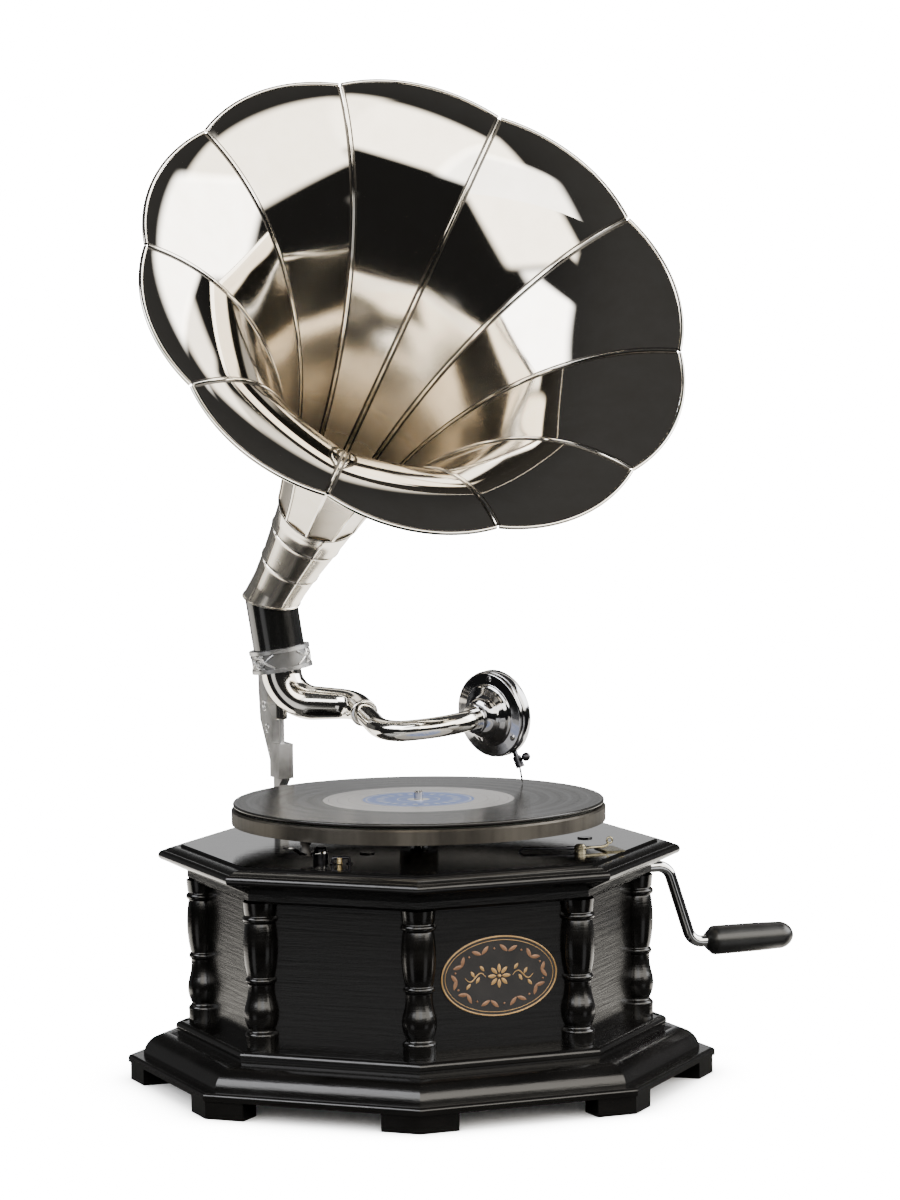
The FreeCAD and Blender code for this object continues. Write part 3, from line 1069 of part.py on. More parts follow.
def beaded_shell(inside, bead):
    """Sheet metal turned round local Z along its inside line of (radius, height), ending in a bead."""
    outside = [(r + sheet_t, z) for r, z in inside]
    last_r, end = outside[-1]
    ring = end - val("bead_long")
    slope = (outside[-1][0] - outside[-2][0]) / (outside[-1][1] - outside[-2][1])
    ring_r = last_r - slope * val("bead_long")
    outside[-1:] = [(ring_r, ring), (ring_r + bead, ring + 0.6), (ring_r + bead, end - 0.6), (last_r, end)]
    corners = inside + outside[::-1]
    face = Part.Face(Part.makePolygon([Vector(r, 0, z) for r, z in corners + corners[:1]]))
    return face.revolve(Vector(0, 0, 0), ZAXIS, 360)


elbow_r = val("elbow_radius")
feature("horn_elbow", mitred_bar(elbow_r, 0.0).cut(mitred_bar(elbow_r - val("elbow_wall"), 0.5)))
foot_r = elbow_r + val("horn_fit")
neck_low = beaded_shell([(foot_r, -elbow_r), (foot_r, val("elbow_insert")), (low_r, val("throat_joint"))],
                        val("joint_bead"))
neck_low.Placement = THROAT
neck_high = tube([joint_at, throat_turn, bell_at], [val("throat_bend")], low_r + sheet_t,
                 high_r + sheet_t, sheet_t)
bell_ring = Part.makeCylinder(high_r + sheet_t + val("bell_bead"), val("bead_long") - 0.4,
                              Vector(0, 0, -val("bead_long")))
bell_ring = bell_ring.cut(Part.makeCylinder(high_r + sheet_t / 4, 20, Vector(0, 0, -10)))
bell_ring.Placement = HORN
neck_high = neck_high.fuse(bell_ring).removeSplitter()
feature("horn_neck", Part.makeCompound([beyond(neck_low, mitre_way), neck_high]))

start_t, end_t = math.radians(val("horn_start")), math.radians(val("horn_end"))
length_a = val("horn_length") / (math.sin(end_t) - math.sin(start_t))
width_b = (val("horn_rim_radius") - val("horn_high_radius")) / (math.cos(start_t) - math.cos(end_t))
half_petal = math.pi / val("horn_petals")


def flare(t):
    """Height, radius and slope angle of the rib line at the parameter t of its ellipse."""
    z = val("petal_lift") + length_a * (math.sin(t) - math.sin(start_t))
    r = val("horn_high_radius") + width_b * (math.cos(start_t) - math.cos(t))
    return z, r, math.atan2(width_b * math.sin(t), length_a * math.cos(t))


def petal_point(t, share, offset):
    """Point of a petal, share -1 to 1 from seam to seam, offset outward from the inner face."""
    z, r, slope = flare(t)
    high, rim = val("horn_high_radius"), val("horn_rim_radius")
    out = (max(0.0, r - high) / (rim - high)) ** val("petal_power")
    bulge = val("horn_scallop") * out - val("petal_flat") * r * (1 - math.cos(half_petal)) * (1 - out)
    z, r = z - offset * math.sin(slope), r + offset * math.cos(slope)
    middle = r + bulge
    centre = (middle ** 2 - r ** 2) / (2 * (middle - r * math.cos(half_petal)))
    radius = middle - centre
    edge = val("seam_wide") / 2 + val("horn_play")
    turn = share * (half_petal - math.asin(edge / r))
    ring = centre * math.cos(turn) + math.sqrt(radius ** 2 - (centre * math.sin(turn)) ** 2)
    return Vector(ring * math.cos(turn), ring * math.sin(turn), z)


def petal_face(offset, rows=13, columns=9):
    grid = []
    for i in range(rows):
        t = start_t + (end_t - start_t) * i / (rows - 1)
        grid.append([petal_point(t, -1 + 2.0 * j / (columns - 1), offset) for j in range(columns)])
    surface = Part.BSplineSurface()
    surface.interpolate(grid)
    return surface


inner_face, outer_face = petal_face(0.0), petal_face(sheet_t)
faces = [inner_face.toShape(), outer_face.toShape()]
u0, u1, v0, v1 = inner_face.bounds()
p0, p1, q0, q1 = outer_face.bounds()
for one, two in ((inner_face.uIso(u0), outer_face.uIso(p0)), (inner_face.uIso(u1), outer_face.uIso(p1)),
                 (inner_face.vIso(v0), outer_face.vIso(q0)), (inner_face.vIso(v1), outer_face.vIso(q1))):
    faces.append(Part.makeRuledSurface(one.toShape(), two.toShape()))
shell = Part.makeCompound(faces)
shell.sewShape()
petal = Part.Solid(shell.Shells[0]) if shell.Shells else Part.Solid(Part.Shell(faces))
if petal.Volume < 0:
    petal.reverse()

rows = 15
inside_line, outside_line = [], []
for i in range(rows):
    t = start_t + (end_t - start_t) * i / (rows - 1)
    z, r, slope = flare(t)
    inward, outward = val("seam_high"), sheet_t + val("seam_high") * 0.6
    inside_line.append(Vector(r - inward * math.cos(slope), 0, z + inward * math.sin(slope)))
    outside_line.append(Vector(r + outward * math.cos(slope), 0, z - outward * math.sin(slope)))
inside_curve, outside_curve = Part.BSplineCurve(), Part.BSplineCurve()
inside_curve.interpolate(inside_line)
outside_curve.interpolate(outside_line)
seam_wire = Part.Wire([
    inside_curve.toShape(), Part.LineSegment(inside_line[-1], outside_line[-1]).toShape(),
    outside_curve.toShape(), Part.LineSegment(outside_line[0], inside_line[0]).toShape()])
seam_wide = val("seam_wide")
seam = Part.Face(seam_wire).extrude(Vector(0, seam_wide, 0))
seam.translate(Vector(0, -seam_wide / 2, 0))

bead_r = val("bead_radius")
z, r, slope = flare(end_t)
shift = bead_r + 0.03
ends = []
for share in (-0.985, 0.0, 0.985):
    spot = (petal_point(end_t, share, 0.0) + petal_point(end_t, share, sheet_t)) * 0.5
    out = Vector(spot.x, spot.y, 0).normalize()
    ends.append(spot + out * (shift * math.sin(slope)) + ZAXIS * (shift * math.cos(slope)))
rim_arc = Part.Arc(*ends)
rim_edge = rim_arc.toShape()
first = rim_edge.FirstParameter
circle_face = Part.Wire(Part.makeCircle(bead_r, rim_edge.valueAt(first), rim_edge.tangentAt(first)))
bead_shell = Part.BRepOffsetAPI.MakePipeShell(Part.Wire([rim_edge]))
bead_shell.add(circle_face)
bead_shell.build()
bead_shell.makeSolid()
bead = bead_shell.shape()

count = int(val("horn_petals"))
phase = val("horn_phase")


def ringed(label, shape, offset):
    copies = []
    for k in range(count):
        copy = shape.copy()
        copy.rotate(Vector(0, 0, 0), ZAXIS, phase + offset + 360.0 * k / count)
        copies.append(copy)
    return feature(label, Part.makeCompound(copies), HORN)


ringed("horn_petals", petal, 0.0)
ringed("horn_seams", seam, 180.0 / count)
ringed("horn_rim", bead, 0.0)

doc.recompute()
problems = [o.Name for o in doc.Objects if "Invalid" in o.State or "Error" in o.State]
for part in PARTS:
    if part.Shape.isNull() or not part.Shape.isValid() or not part.Shape.Solids:
        problems.append(part.Label + " shape")
if problems:
    raise RuntimeError("failed: " + ", ".join(problems))
os.makedirs("parts", exist_ok=True)
for part in PARTS:
    part.Shape.exportStep("parts/%s.step" % part.Label)
for name, spot, way in (
        ("arm pivot", arm_foot, ZAXIS), ("gooseneck", mouth_at, mouth_way), ("horn", LEAN.Base, lean_way),
        ("horn bell", bell_at, horn_way),
        ("needle screw", BOX.multVec(screw_at), BOX.Rotation.multVec(screw_way)),
        ("crank", CRANK_TURN.Base, heading(CRANK_SIDE)), ("grip", grip_place.Base, heading(CRANK_SIDE)),
        ("brake", brake_at, ZAXIS), ("speed", speed_at, ZAXIS), ("click", MOTOR_TURN.multVec(post_at), ZAXIS),
        ("barrel", MOTOR_TURN.multVec(barrel_at), ZAXIS), ("middle", MOTOR_TURN.multVec(middle_at), ZAXIS),
        ("governor", MOTOR_TURN.multVec(governor_at), ZAXIS),
        ("needle tip", BOX.multVec(needle_top + needle_way * needle_long), way_world)):
    print("%-12s at %9.4f %9.4f %9.4f  along %8.5f %8.5f %8.5f" % (
        name, spot.x, spot.y, spot.z, way.x, way.y, way.z))
print(len(PARTS), "pieces")
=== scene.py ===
import json
import math

import bmesh
import bpy
from mathutils import Matrix, Vector


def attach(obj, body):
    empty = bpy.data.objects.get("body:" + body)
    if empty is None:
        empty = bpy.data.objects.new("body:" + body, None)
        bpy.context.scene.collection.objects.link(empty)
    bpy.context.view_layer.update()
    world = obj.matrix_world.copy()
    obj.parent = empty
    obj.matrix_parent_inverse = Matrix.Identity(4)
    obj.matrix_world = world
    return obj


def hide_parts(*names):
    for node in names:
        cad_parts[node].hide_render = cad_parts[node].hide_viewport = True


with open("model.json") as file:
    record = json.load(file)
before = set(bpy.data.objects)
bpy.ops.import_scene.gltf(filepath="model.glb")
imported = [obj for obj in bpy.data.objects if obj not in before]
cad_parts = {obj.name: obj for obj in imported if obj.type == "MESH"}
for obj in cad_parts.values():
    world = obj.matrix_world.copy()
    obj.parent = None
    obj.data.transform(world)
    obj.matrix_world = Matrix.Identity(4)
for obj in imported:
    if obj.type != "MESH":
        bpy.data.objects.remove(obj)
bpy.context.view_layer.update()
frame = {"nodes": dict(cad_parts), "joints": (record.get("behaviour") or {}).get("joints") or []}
nodes = frame["nodes"]
joints = {joint["name"]: joint for joint in frame["joints"]}
MM = 0.001
X, Y, Z = Vector((1, 0, 0)), Vector((0, 1, 0)), Vector((0, 0, 1))


def heading(turn, rise=0.0):
    """Unit vector from a turn about Z, measured from +X, and a rise, in degrees."""
    turn, rise = math.radians(turn), math.radians(rise)
    return Vector((math.cos(turn) * math.cos(rise), math.sin(turn) * math.cos(rise), math.sin(rise)))


def place(base, zdir, xdir):
    """Matrix of a local frame at base, in metres, whose Z and X axes point along the given directions."""
    zdir = Vector(zdir).normalized()
    ydir = zdir.cross(xdir).normalized()
    made = Matrix((ydir.cross(zdir), ydir, zdir)).transposed().to_4x4()
    made.translation = base
    return made


def joint_at(name):
    """Place of a CAD joint, in millimetres."""
    return Vector(joints[name]["pos_m"]) / MM


def joint_way(name):
    """Direction of a CAD joint's axis."""
    return Vector(joints[name]["axis"]).normalized()


def round_turn(count):
    """Angles of a full turn in even steps, in radians."""
    return [2 * math.pi * j / count for j in range(count)]


# Camera, fitted to the photograph's frame of 900 by 1200
FRAME_TALL = 1200
FOCAL_PIXELS = 4487.5
CAMERA_PITCH, CAMERA_ROLL = 0.086, -0.012
CAMERA_AT = Vector((0.022884, -3.0, 0.581489))


def make_camera():
    data = bpy.data.cameras.new("photo_camera")
    data.sensor_width = 36.0
    data.lens = data.sensor_width * FOCAL_PIXELS / FRAME_TALL
    data.clip_end = 100
    ahead = Vector((0, math.cos(CAMERA_PITCH), -math.sin(CAMERA_PITCH)))
    level_up = Vector((0, math.sin(CAMERA_PITCH), math.cos(CAMERA_PITCH)))
    right = X * math.cos(CAMERA_ROLL) + level_up * math.sin(CAMERA_ROLL)
    up = level_up * math.cos(CAMERA_ROLL) - X * math.sin(CAMERA_ROLL)
    camera = bpy.data.objects.new("photo_camera", data)
    bpy.context.scene.collection.objects.link(camera)
    matrix = Matrix((right, up, -ahead)).transposed().to_4x4()
    matrix.translation = CAMERA_AT
    camera.matrix_world = matrix
    bpy.context.scene.camera = camera


# Mesh helpers: sizes are given in millimetres, and the meshes are in metres
SHARP_EDGE, EASED_EDGE = math.radians(35), math.radians(28)
EASE_SHARE = 0.4
WELD_GAP = 2e-6


def link(name, verts, faces):
    mesh = bpy.data.meshes.new(name)
    mesh.from_pydata([tuple(v) for v in verts], [], faces)
    mesh.validate()
    made = bpy.data.objects.new(name, mesh)
    bpy.context.scene.collection.objects.link(made)
    return made


def weld_points(mesh):
    work = bmesh.new()
    work.from_mesh(mesh)
    bmesh.ops.remove_doubles(work, verts=work.verts, dist=WELD_GAP)
    bmesh.ops.recalc_face_normals(work, faces=work.faces)
    work.to_mesh(mesh)
    work.free()


class Shape:
    """Collects grids of points into one mesh."""

    def __init__(self, matrix=None):
        self.matrix = matrix or Matrix.Identity(4)
        self.verts = []
        self.faces = []

    def grid(self, rows, wrap=False, flip=False):
        """Quads over rows of points; wrap joins each row's end to its start."""
        start, columns = len(self.verts), len(rows[0])
        for row in rows:
            self.verts += [self.matrix @ (Vector(point) * MM) for point in row]
        for i in range(len(rows) - 1):
            low = start + i * columns
            for j in range(columns if wrap else columns - 1):
                k = (j + 1) % columns
                quad = (low + j, low + k, low + columns + k, low + columns + j)
                self.faces.append(quad[::-1] if flip else quad)

    def lathe(self, profile, steps, first=0.0, last=360.0):
        """Turn a line of (radius, height) about local Z; the line's left side is outward."""
        closed = abs(last - first) >= 360.0
        count = steps if closed else steps + 1
        turns = [math.radians(first + (last - first) * j / steps) for j in range(count)]
        self.grid([[(r * math.cos(a), r * math.sin(a), z) for a in turns] for r, z in profile], wrap=closed)

    def tube(self, points, radii, sides, closed=False, capped=True, side=None):
        """A round bar along points; each radius is a number or a function of the angle round the bar."""
        rings = []
        count = len(points)
        turns = round_turn(sides)
        for i, point in enumerate(points):
            before = points[(i - 1) % count] if closed or i else points[0]
            after = points[(i + 1) % count] if closed or i + 1 < count else points[-1]
            ahead = (Vector(after) - Vector(before)).normalized()
            if side is None:
                side = ahead.orthogonal().normalized()
            side = (side - ahead * side.dot(ahead)).normalized()
            other = ahead.cross(side)
            sizes = [radii[i](a) if callable(radii[i]) else radii[i] for a in turns]
            rings.append([Vector(point) + (side * math.cos(a) + other * math.sin(a)) * r
                          for a, r in zip(turns, sizes)])
        if closed:
            rings.append(rings[0])
        elif capped:
            rings = [[Vector(points[0])] * sides] + rings + [[Vector(points[-1])] * sides]
        self.grid(rings, wrap=True)

    def rod(self, points, radius, sides, **ends):
        """A bar of one radius along points."""
        self.tube(points, [radius] * len(points), sides, **ends)

    def ball(self, centre, radius, sides=20, rings=12):
        rows = []
        for i in range(rings + 1):
            tilt = math.pi * i / rings - math.pi / 2
            ring, level = radius * math.cos(tilt), radius * math.sin(tilt)
            rows.append([Vector(centre) + Vector((ring * math.cos(a), ring * math.sin(a), level))
                         for a in round_turn(sides)])
        self.grid(rows, wrap=True)

    def finish(self, name, body, material, slot, *replaced, weld=True):
        made = link(name, self.verts, self.faces)
        mesh = made.data
        if weld:
            weld_points(mesh)
        mesh.polygons.foreach_set("use_smooth", [True] * len(mesh.polygons))
        mesh.set_sharp_from_angle(angle=SHARP_EDGE)
        mesh.materials.append(material)
        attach(made, body)
        if replaced:
            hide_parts(*replaced)
        return made


def arc_points(start, middle, end, count):
    """Points on the circle through three points of a profile, from after start up to end."""
    (ax, ay), (bx, by), (cx, cy) = start, middle, end
    d = 2 * (ax * (by - cy) + bx * (cy - ay) + cx * (ay - by))
    if abs(d) < 1e-9:
        return [end]
    a2, b2, c2 = ax * ax + ay * ay, bx * bx + by * by, cx * cx + cy * cy
    ux = (a2 * (by - cy) + b2 * (cy - ay) + c2 * (ay - by)) / d
    uy = (a2 * (cx - bx) + b2 * (ax - cx) + c2 * (bx - ax)) / d
    radius = math.hypot(ax - ux, ay - uy)
    first, mid, last = (math.atan2(y - uy, x - ux) for x, y in (start, middle, end))
    sweep = (last - first) % (2 * math.pi)
    if (mid - first) % (2 * math.pi) > sweep:
        sweep -= 2 * math.pi
    turns = [first + sweep * i / count for i in range(1, count + 1)]
    return [(ux + radius * math.cos(a), uy + radius * math.sin(a)) for a in turns]


def rounded_profile(corners, count):
    """A profile whose corners are (r, z), or (r, z, mr, mz) for an arc through (mr, mz)."""
    line = [tuple(corners[0][:2])]
    for corner in corners[1:]:
        if len(corner) == 4:
            line += arc_points(line[-1], corner[2:], corner[:2], count)
        else:
            line.append(tuple(corner))
    return line


def eased(line, size):
    """A profile with each sharp corner replaced by a short chamfer, so that its edges catch the light."""
    made = [line[0]]
    for before, here, after in zip(line, line[1:], line[2:]):
        a, b, c = Vector(before), Vector(here), Vector(after)
        into, out = b - a, c - b
        if into.length < 1e-6 or out.length < 1e-6:
            continue
        if into.angle(out) > EASED_EDGE:
            cut = min(size, into.length * EASE_SHARE, out.length * EASE_SHARE)
            made += [tuple(b - into.normalized() * cut), tuple(b + out.normalized() * cut)]
        else:
            made.append(here)
    made.append(line[-1])
    return made


def bent_path(points, bends, steps):
    """Points along straight runs joined by tangent arcs."""
    line = [Vector(points[0])]
    for before, corner, after, radius in zip(points, points[1:], points[2:], bends):
        into, out = (corner - before).normalized(), (after - corner).normalized()
        turn = into.angle(out)
        back = radius * math.tan(turn / 2)
        centre = corner + (out - into).normalized() * (radius / math.cos(turn / 2))
        start = corner - into * back
        axis = into.cross(out).normalized()
        for i in range(steps + 1):
            line.append(centre + Matrix.Rotation(turn * i / steps, 3, axis) @ (start - centre))
    line.append(Vector(points[-1]))
    return line


def along(line, stations):
    """Points at the given distances along a line of points."""
    found = []
    for station in stations:
        left = station
        for a, b in zip(line, line[1:]):
            step = (b - a).length
            if left <= step or b is line[-1]:
                found.append(a + (b - a) * (left / step))
                break
            left -= step
    return found


def tapered(line, first, last):
    """One radius for each point of a line, changing evenly with the distance along it."""
    lengths = [0.0]
    for a, b in zip(line, line[1:]):
        lengths.append(lengths[-1] + (b - a).length)
    return [first + (last - first) * s / lengths[-1] for s in lengths]


# Materials
class Nodes:
    """A node tree, with short ways to add and join nodes."""

    def __init__(self, tree):
        self.tree = tree

    def feed(self, socket, value):
        """Join a node's output to a socket, or set the socket's own value."""
        if isinstance(value, bpy.types.NodeSocket):
            self.tree.links.new(value, socket)
        elif socket.type == "RGBA":
            socket.default_value = (*value, 1)
        else:
            socket.default_value = value

    def add(self, kind, **settings):
        """A new node; a setting with an input's name, written with _ for a space, goes to that input."""
        node = self.tree.nodes.new("ShaderNode" + kind)
        for key, value in settings.items():
            title = key.replace("_", " ")
            if title in node.inputs:
                self.feed(node.inputs[title], value)
            else:
                setattr(node, key, value)
        return node

    def math(self, operation, *values):
        node = self.add("Math", operation=operation)
        for socket, value in zip(node.inputs, values):
            self.feed(socket, value)
        return node.outputs["Value"]

    def vector(self, operation, *values):
        """Vector maths on sockets or fixed vectors."""
        node = self.add("VectorMath", operation=operation)
        second = "Scale" if operation == "SCALE" else 1
        for socket, value in zip((node.inputs[0], node.inputs[second]), values):
            self.feed(socket, value)
        return node.outputs["Value" if operation in ("LENGTH", "DOT_PRODUCT") else "Vector"]

    def span(self, value, low, high, **settings):
        """A value from 0 to 1, spread from low to high."""
        return self.add("MapRange", Value=value, To_Min=low, To_Max=high, **settings).outputs["Result"]

    def place(self, stretch=(1, 1, 1)):
        """Object coordinates, stretched."""
        spot = self.add("TexCoord").outputs["Object"]
        return self.add("Mapping", Vector=spot, Scale=stretch).outputs["Vector"]

    def noise(self, vector, scale, detail=3.0, rough=0.5, warp=0.0):
        node = self.add("TexNoise", Vector=vector, Scale=scale, Detail=detail, Roughness=rough,
                        Distortion=warp)
        return node.outputs["Fac"]

    def ramp(self, value, stops, constant=False):
        node = self.add("ValToRGB", Fac=value)
        node.color_ramp.interpolation = "CONSTANT" if constant else "LINEAR"
        points = node.color_ramp.elements
        while len(points) < len(stops):
            points.new(0.5)
        for point, (at, colour) in zip(points, stops):
            point.position = at
            point.color = (colour, colour, colour, 1) if isinstance(colour, float) else (*colour, 1)
        return node.outputs["Color"]

    def mix(self, factor, first, second):
        node = self.add("Mix", data_type="RGBA")
        self.feed(node.inputs[0], factor)
        for socket, value in zip([s for s in node.inputs if s.type == "RGBA"], (first, second)):
            self.feed(socket, value)
        return next(s for s in node.outputs if s.type == "RGBA")

    def two_tone(self, value, low, high, first, second):
        """The first colour up to low, the second from high on."""
        return self.mix(self.ramp(value, ((low, 0.0), (high, 1.0))), first, second)


class Material(Nodes):
    """A material's node tree and its shader."""

    def __init__(self, name):
        self.material = bpy.data.materials.new(name)
        self.material.use_nodes = True
        super().__init__(self.material.node_tree)
        self.shader = self.tree.nodes["Principled BSDF"]

    def set(self, **values):
        for key, value in values.items():
            self.feed(self.shader.inputs[key.replace("_", " ")], value)

    def bump(self, height, strength, distance):
        node = self.add("Bump", Height=height, Strength=strength, Distance=distance)
        self.set(Normal=node.outputs["Normal"])


# Depths of relief in metres: waves of a polished sheet, cut or cast grain, wood grain, and print
WAVE_DEEP, CUT_DEEP, WOOD_DEEP, PRINT_DEEP = 0.004, 0.0004, 0.0009, 0.0002


def polished_metal(name, bright, shade, gloss, wave, scale):
    """Polished plate: a slight waviness bends the reflections, and faint haze changes the gloss."""
    made = Material(name)
    spot = made.place()
    haze = made.noise(spot, scale * 7, 4.0, 0.6)
    made.set(Base_Color=made.two_tone(haze, 0.35, 0.75, bright, shade), Roughness=made.span(haze, *gloss),
             Metallic=1.0)
    made.bump(made.noise(spot, scale, 2.0), wave, WAVE_DEEP)
    return made.material


def horn_metal(name, bright, shade, gloss, haze, deep):
    """Polished nickel whose polish fades from the rim to the throat of the bell."""
    made = Material(name)
    spot = made.place()
    fine = made.noise(spot, 60, 4.0, 0.6)
    wiped = made.noise(made.place((1, 1, 0.12)), 26, 3.0)
    reach = made.vector("DOT_PRODUCT", spot, tuple(HORN_WAY))
    height = made.math("SUBTRACT", reach, (BELL_AT * MM).dot(HORN_WAY))
    share = made.math("DIVIDE", height, HORN_LENGTH * MM)
    dull = made.span(share, deep, gloss, interpolation_type="SMOOTHSTEP")
    spread = made.math("MULTIPLY", made.math("ADD", fine, wiped), haze)
    made.set(Base_Color=made.two_tone(fine, 0.35, 0.75, bright, shade),
             Roughness=made.math("ADD", dull, spread), Metallic=1.0)
    made.bump(made.noise(spot, 6.0, 2.0), 0.010, WAVE_DEEP)
    return made.material


def machined_metal(name, bright, shade, gloss, stretch=(1, 1, 1), under=None):
    """Cut or cast metal with fine grain; its downward faces may take a darker painted shade."""
    made = Material(name)
    spot = made.place(stretch)
    grain = made.noise(spot, 420, 5.0, 0.6)
    tone = made.two_tone(made.noise(spot, 45, 3.0), 0.35, 0.7, bright, shade)
    # Painted shade: faces turned downward take the darker colour
    if under:
        normal = made.add("SeparateXYZ", Vector=made.add("NewGeometry").outputs["Normal"])
        tone = made.mix(made.math("LESS_THAN", normal.outputs["Z"], -0.5), tone, under)
    made.set(Base_Color=tone, Roughness=made.span(grain, *gloss), Metallic=1.0)
    made.bump(grain, 0.25, CUT_DEEP)
    return made.material


LACQUER, BARE_WOOD = (0.0016, 0.0015, 0.0014), (0.040, 0.020, 0.011)


def lacquered_wood(name, stretch, grain_depth, gloss=(0.10, 0.30)):
    """Black lacquer brushed over open-grained wood, with a few rubbed brown spots."""
    made = Material(name)
    grain_at = made.place(stretch)
    spot = made.place()
    grain = made.noise(grain_at, 60, 6.0, 0.62, 0.6)
    brushed = made.noise(grain_at, 16, 3.0, 0.5, 0.3)
    cloud = made.noise(spot, 22, 3.0)
    rubbed = made.ramp(made.noise(spot, 130, 5.0, 0.7), ((0.70, 0.0), (0.80, 1.0)))
    tone = made.two_tone(brushed, 0.3, 0.8, LACQUER, tuple(c * 2.4 for c in LACQUER))
    tone = made.mix(made.math("MULTIPLY", rubbed, 0.25), tone, BARE_WOOD)
    streak = made.math("ADD", made.math("MULTIPLY", brushed, 0.6), made.math("MULTIPLY", cloud, 0.4))
    made.set(Base_Color=tone, Roughness=made.span(streak, *gloss), Coat_Weight=0.15, Coat_Roughness=0.06,
             Specular_IOR_Level=0.30)
    made.bump(made.math("ADD", grain, made.math("MULTIPLY", brushed, 1.6)), grain_depth, WOOD_DEEP)
    return made.material


def printed_gold(name, bright, shade):
    """Bronze-coloured printing ink, slightly worn."""
    made = Material(name)
    wear = made.noise(made.place(), 240, 4.0, 0.65)
    made.set(Base_Color=made.two_tone(wear, 0.35, 0.7, bright, shade), Roughness=made.span(wear, 0.35, 0.6),
             Metallic=0.25)
    made.bump(wear, 0.1, PRINT_DEEP)
    return made.material


def gloss_black(name, gloss, stretch=(1, 1, 1), tint=(0.004, 0.004, 0.004), coat=0.6):
    """Black enamel or lacquer with faint streaks."""
    made = Material(name)
    streak = made.noise(made.place(stretch), 60, 4.0)
    made.set(Base_Color=made.two_tone(streak, 0.35, 0.75, tint, tuple(c * 2.2 for c in tint)),
             Roughness=made.span(streak, *gloss), Coat_Weight=coat, Coat_Roughness=0.05)
    made.bump(streak, 0.06, 0.0006)
    return made.material


def mottled(name, texture, dark, pale, gloss, relief, **finish):
    """Felt, rubber or mica: one noise gives the colour, the gloss and the relief."""
    made = Material(name)
    speck = made.noise(made.place(), *texture)
    made.set(Base_Color=made.mix(speck, dark, pale), Roughness=made.span(speck, *gloss), **finish)
    made.bump(speck, *relief)
    return made.material


def radius_of(made):
    """Distance from the spindle, in metres, as a node value."""
    return made.vector("LENGTH", made.vector("MULTIPLY", made.add("TexCoord").outputs["Object"], (1, 1, 0)))


# Record and label: radii of the printed ring and the label, and widths of the bands between the tracks
RING_PRINT, LABEL_PRINT, WIDE_BAND, NARROW_BAND = 64.8 * MM, 37.7 * MM, 11.7 * MM, 4.3 * MM
SHELLAC_DARK, SHELLAC_PALE = (0.010, 0.0095, 0.009), (0.019, 0.018, 0.017)
RING_GREY, RING_LINE = (0.24, 0.235, 0.23), (0.13, 0.125, 0.12)
LABEL_BLUE, LABEL_PALE, LABEL_FIBRE = (0.075, 0.115, 0.26), (0.34, 0.34, 0.33), (0.40, 0.39, 0.36)
LABEL_DASHES = 22.0


def shellac(name):
    """Glossy record: bands between the tracks, a little dust, and the pale printed ring round its label."""
    made = Material(name)
    radius = radius_of(made)
    wide, narrow = (made.math("SINE", made.math("MULTIPLY", radius, 2 * math.pi / band))
                    for band in (WIDE_BAND, NARROW_BAND))
    band = made.math("MULTIPLY_ADD", made.math("ADD", wide, made.math("MULTIPLY", narrow, 0.6)), 0.3, 0.5)
    dust = made.noise(made.place(), 140, 4.0, 0.7)
    share = made.math("DIVIDE", radius, RING_PRINT)
    stops = [(0.0, RING_GREY)]
    for at in (0.72, 0.84, 0.93):
        stops += [(at, RING_LINE), (at + 0.006, RING_GREY)]
    ring = made.ramp(share, stops + [(0.985, RING_LINE)], constant=True)
    worn = made.math("ADD", made.math("MULTIPLY", band, 0.5), made.math("MULTIPLY", dust, 0.5))
    tracks = made.mix(band, SHELLAC_DARK, SHELLAC_PALE)
    made.set(Base_Color=made.mix(made.math("LESS_THAN", share, 1.0), tracks, ring),
             Roughness=made.span(worn, 0.18, 0.28), Anisotropic=0.3, Specular_IOR_Level=0.35,
             Tangent=made.add("Tangent", direction_type="RADIAL", axis="Z").outputs["Tangent"])
    made.bump(dust, 0.01, 0.0001)
    return made.material


def label_paper(name):
    """Plain printed label: blue field, pale rings and a ring of pale dashes."""
    made = Material(name)
    share = made.math("DIVIDE", radius_of(made), LABEL_PRINT)
    stops = ((0.0, LABEL_PALE), (0.20, LABEL_BLUE), (0.36, LABEL_PALE), (0.385, LABEL_BLUE),
             (0.92, LABEL_PALE), (0.945, LABEL_BLUE))
    split = made.add("SeparateXYZ", Vector=made.place())
    turn = made.math("ARCTAN2", split.outputs["Y"], split.outputs["X"])
    dash = made.math("GREATER_THAN", made.math("SINE", made.math("MULTIPLY", turn, LABEL_DASHES)), 0.2)
    zone = made.math("MULTIPLY", made.math("GREATER_THAN", share, 0.62), made.math("LESS_THAN", share, 0.76))
    dashes = made.math("MULTIPLY", made.math("MULTIPLY", zone, dash), 0.75)
    printed = made.mix(dashes, made.ramp(share, stops, constant=True), LABEL_PALE)
    fibre = made.noise(made.place(), 500, 5.0, 0.7)
    faded = made.math("MULTIPLY", made.ramp(fibre, ((0.4, 0.0), (0.8, 1.0))), 0.25)
    made.set(Base_Color=made.mix(faded, printed, LABEL_FIBRE), Roughness=made.span(fibre, 0.3, 0.5))
    made.bump(fibre, 0.08, PRINT_DEEP)
    return made.material


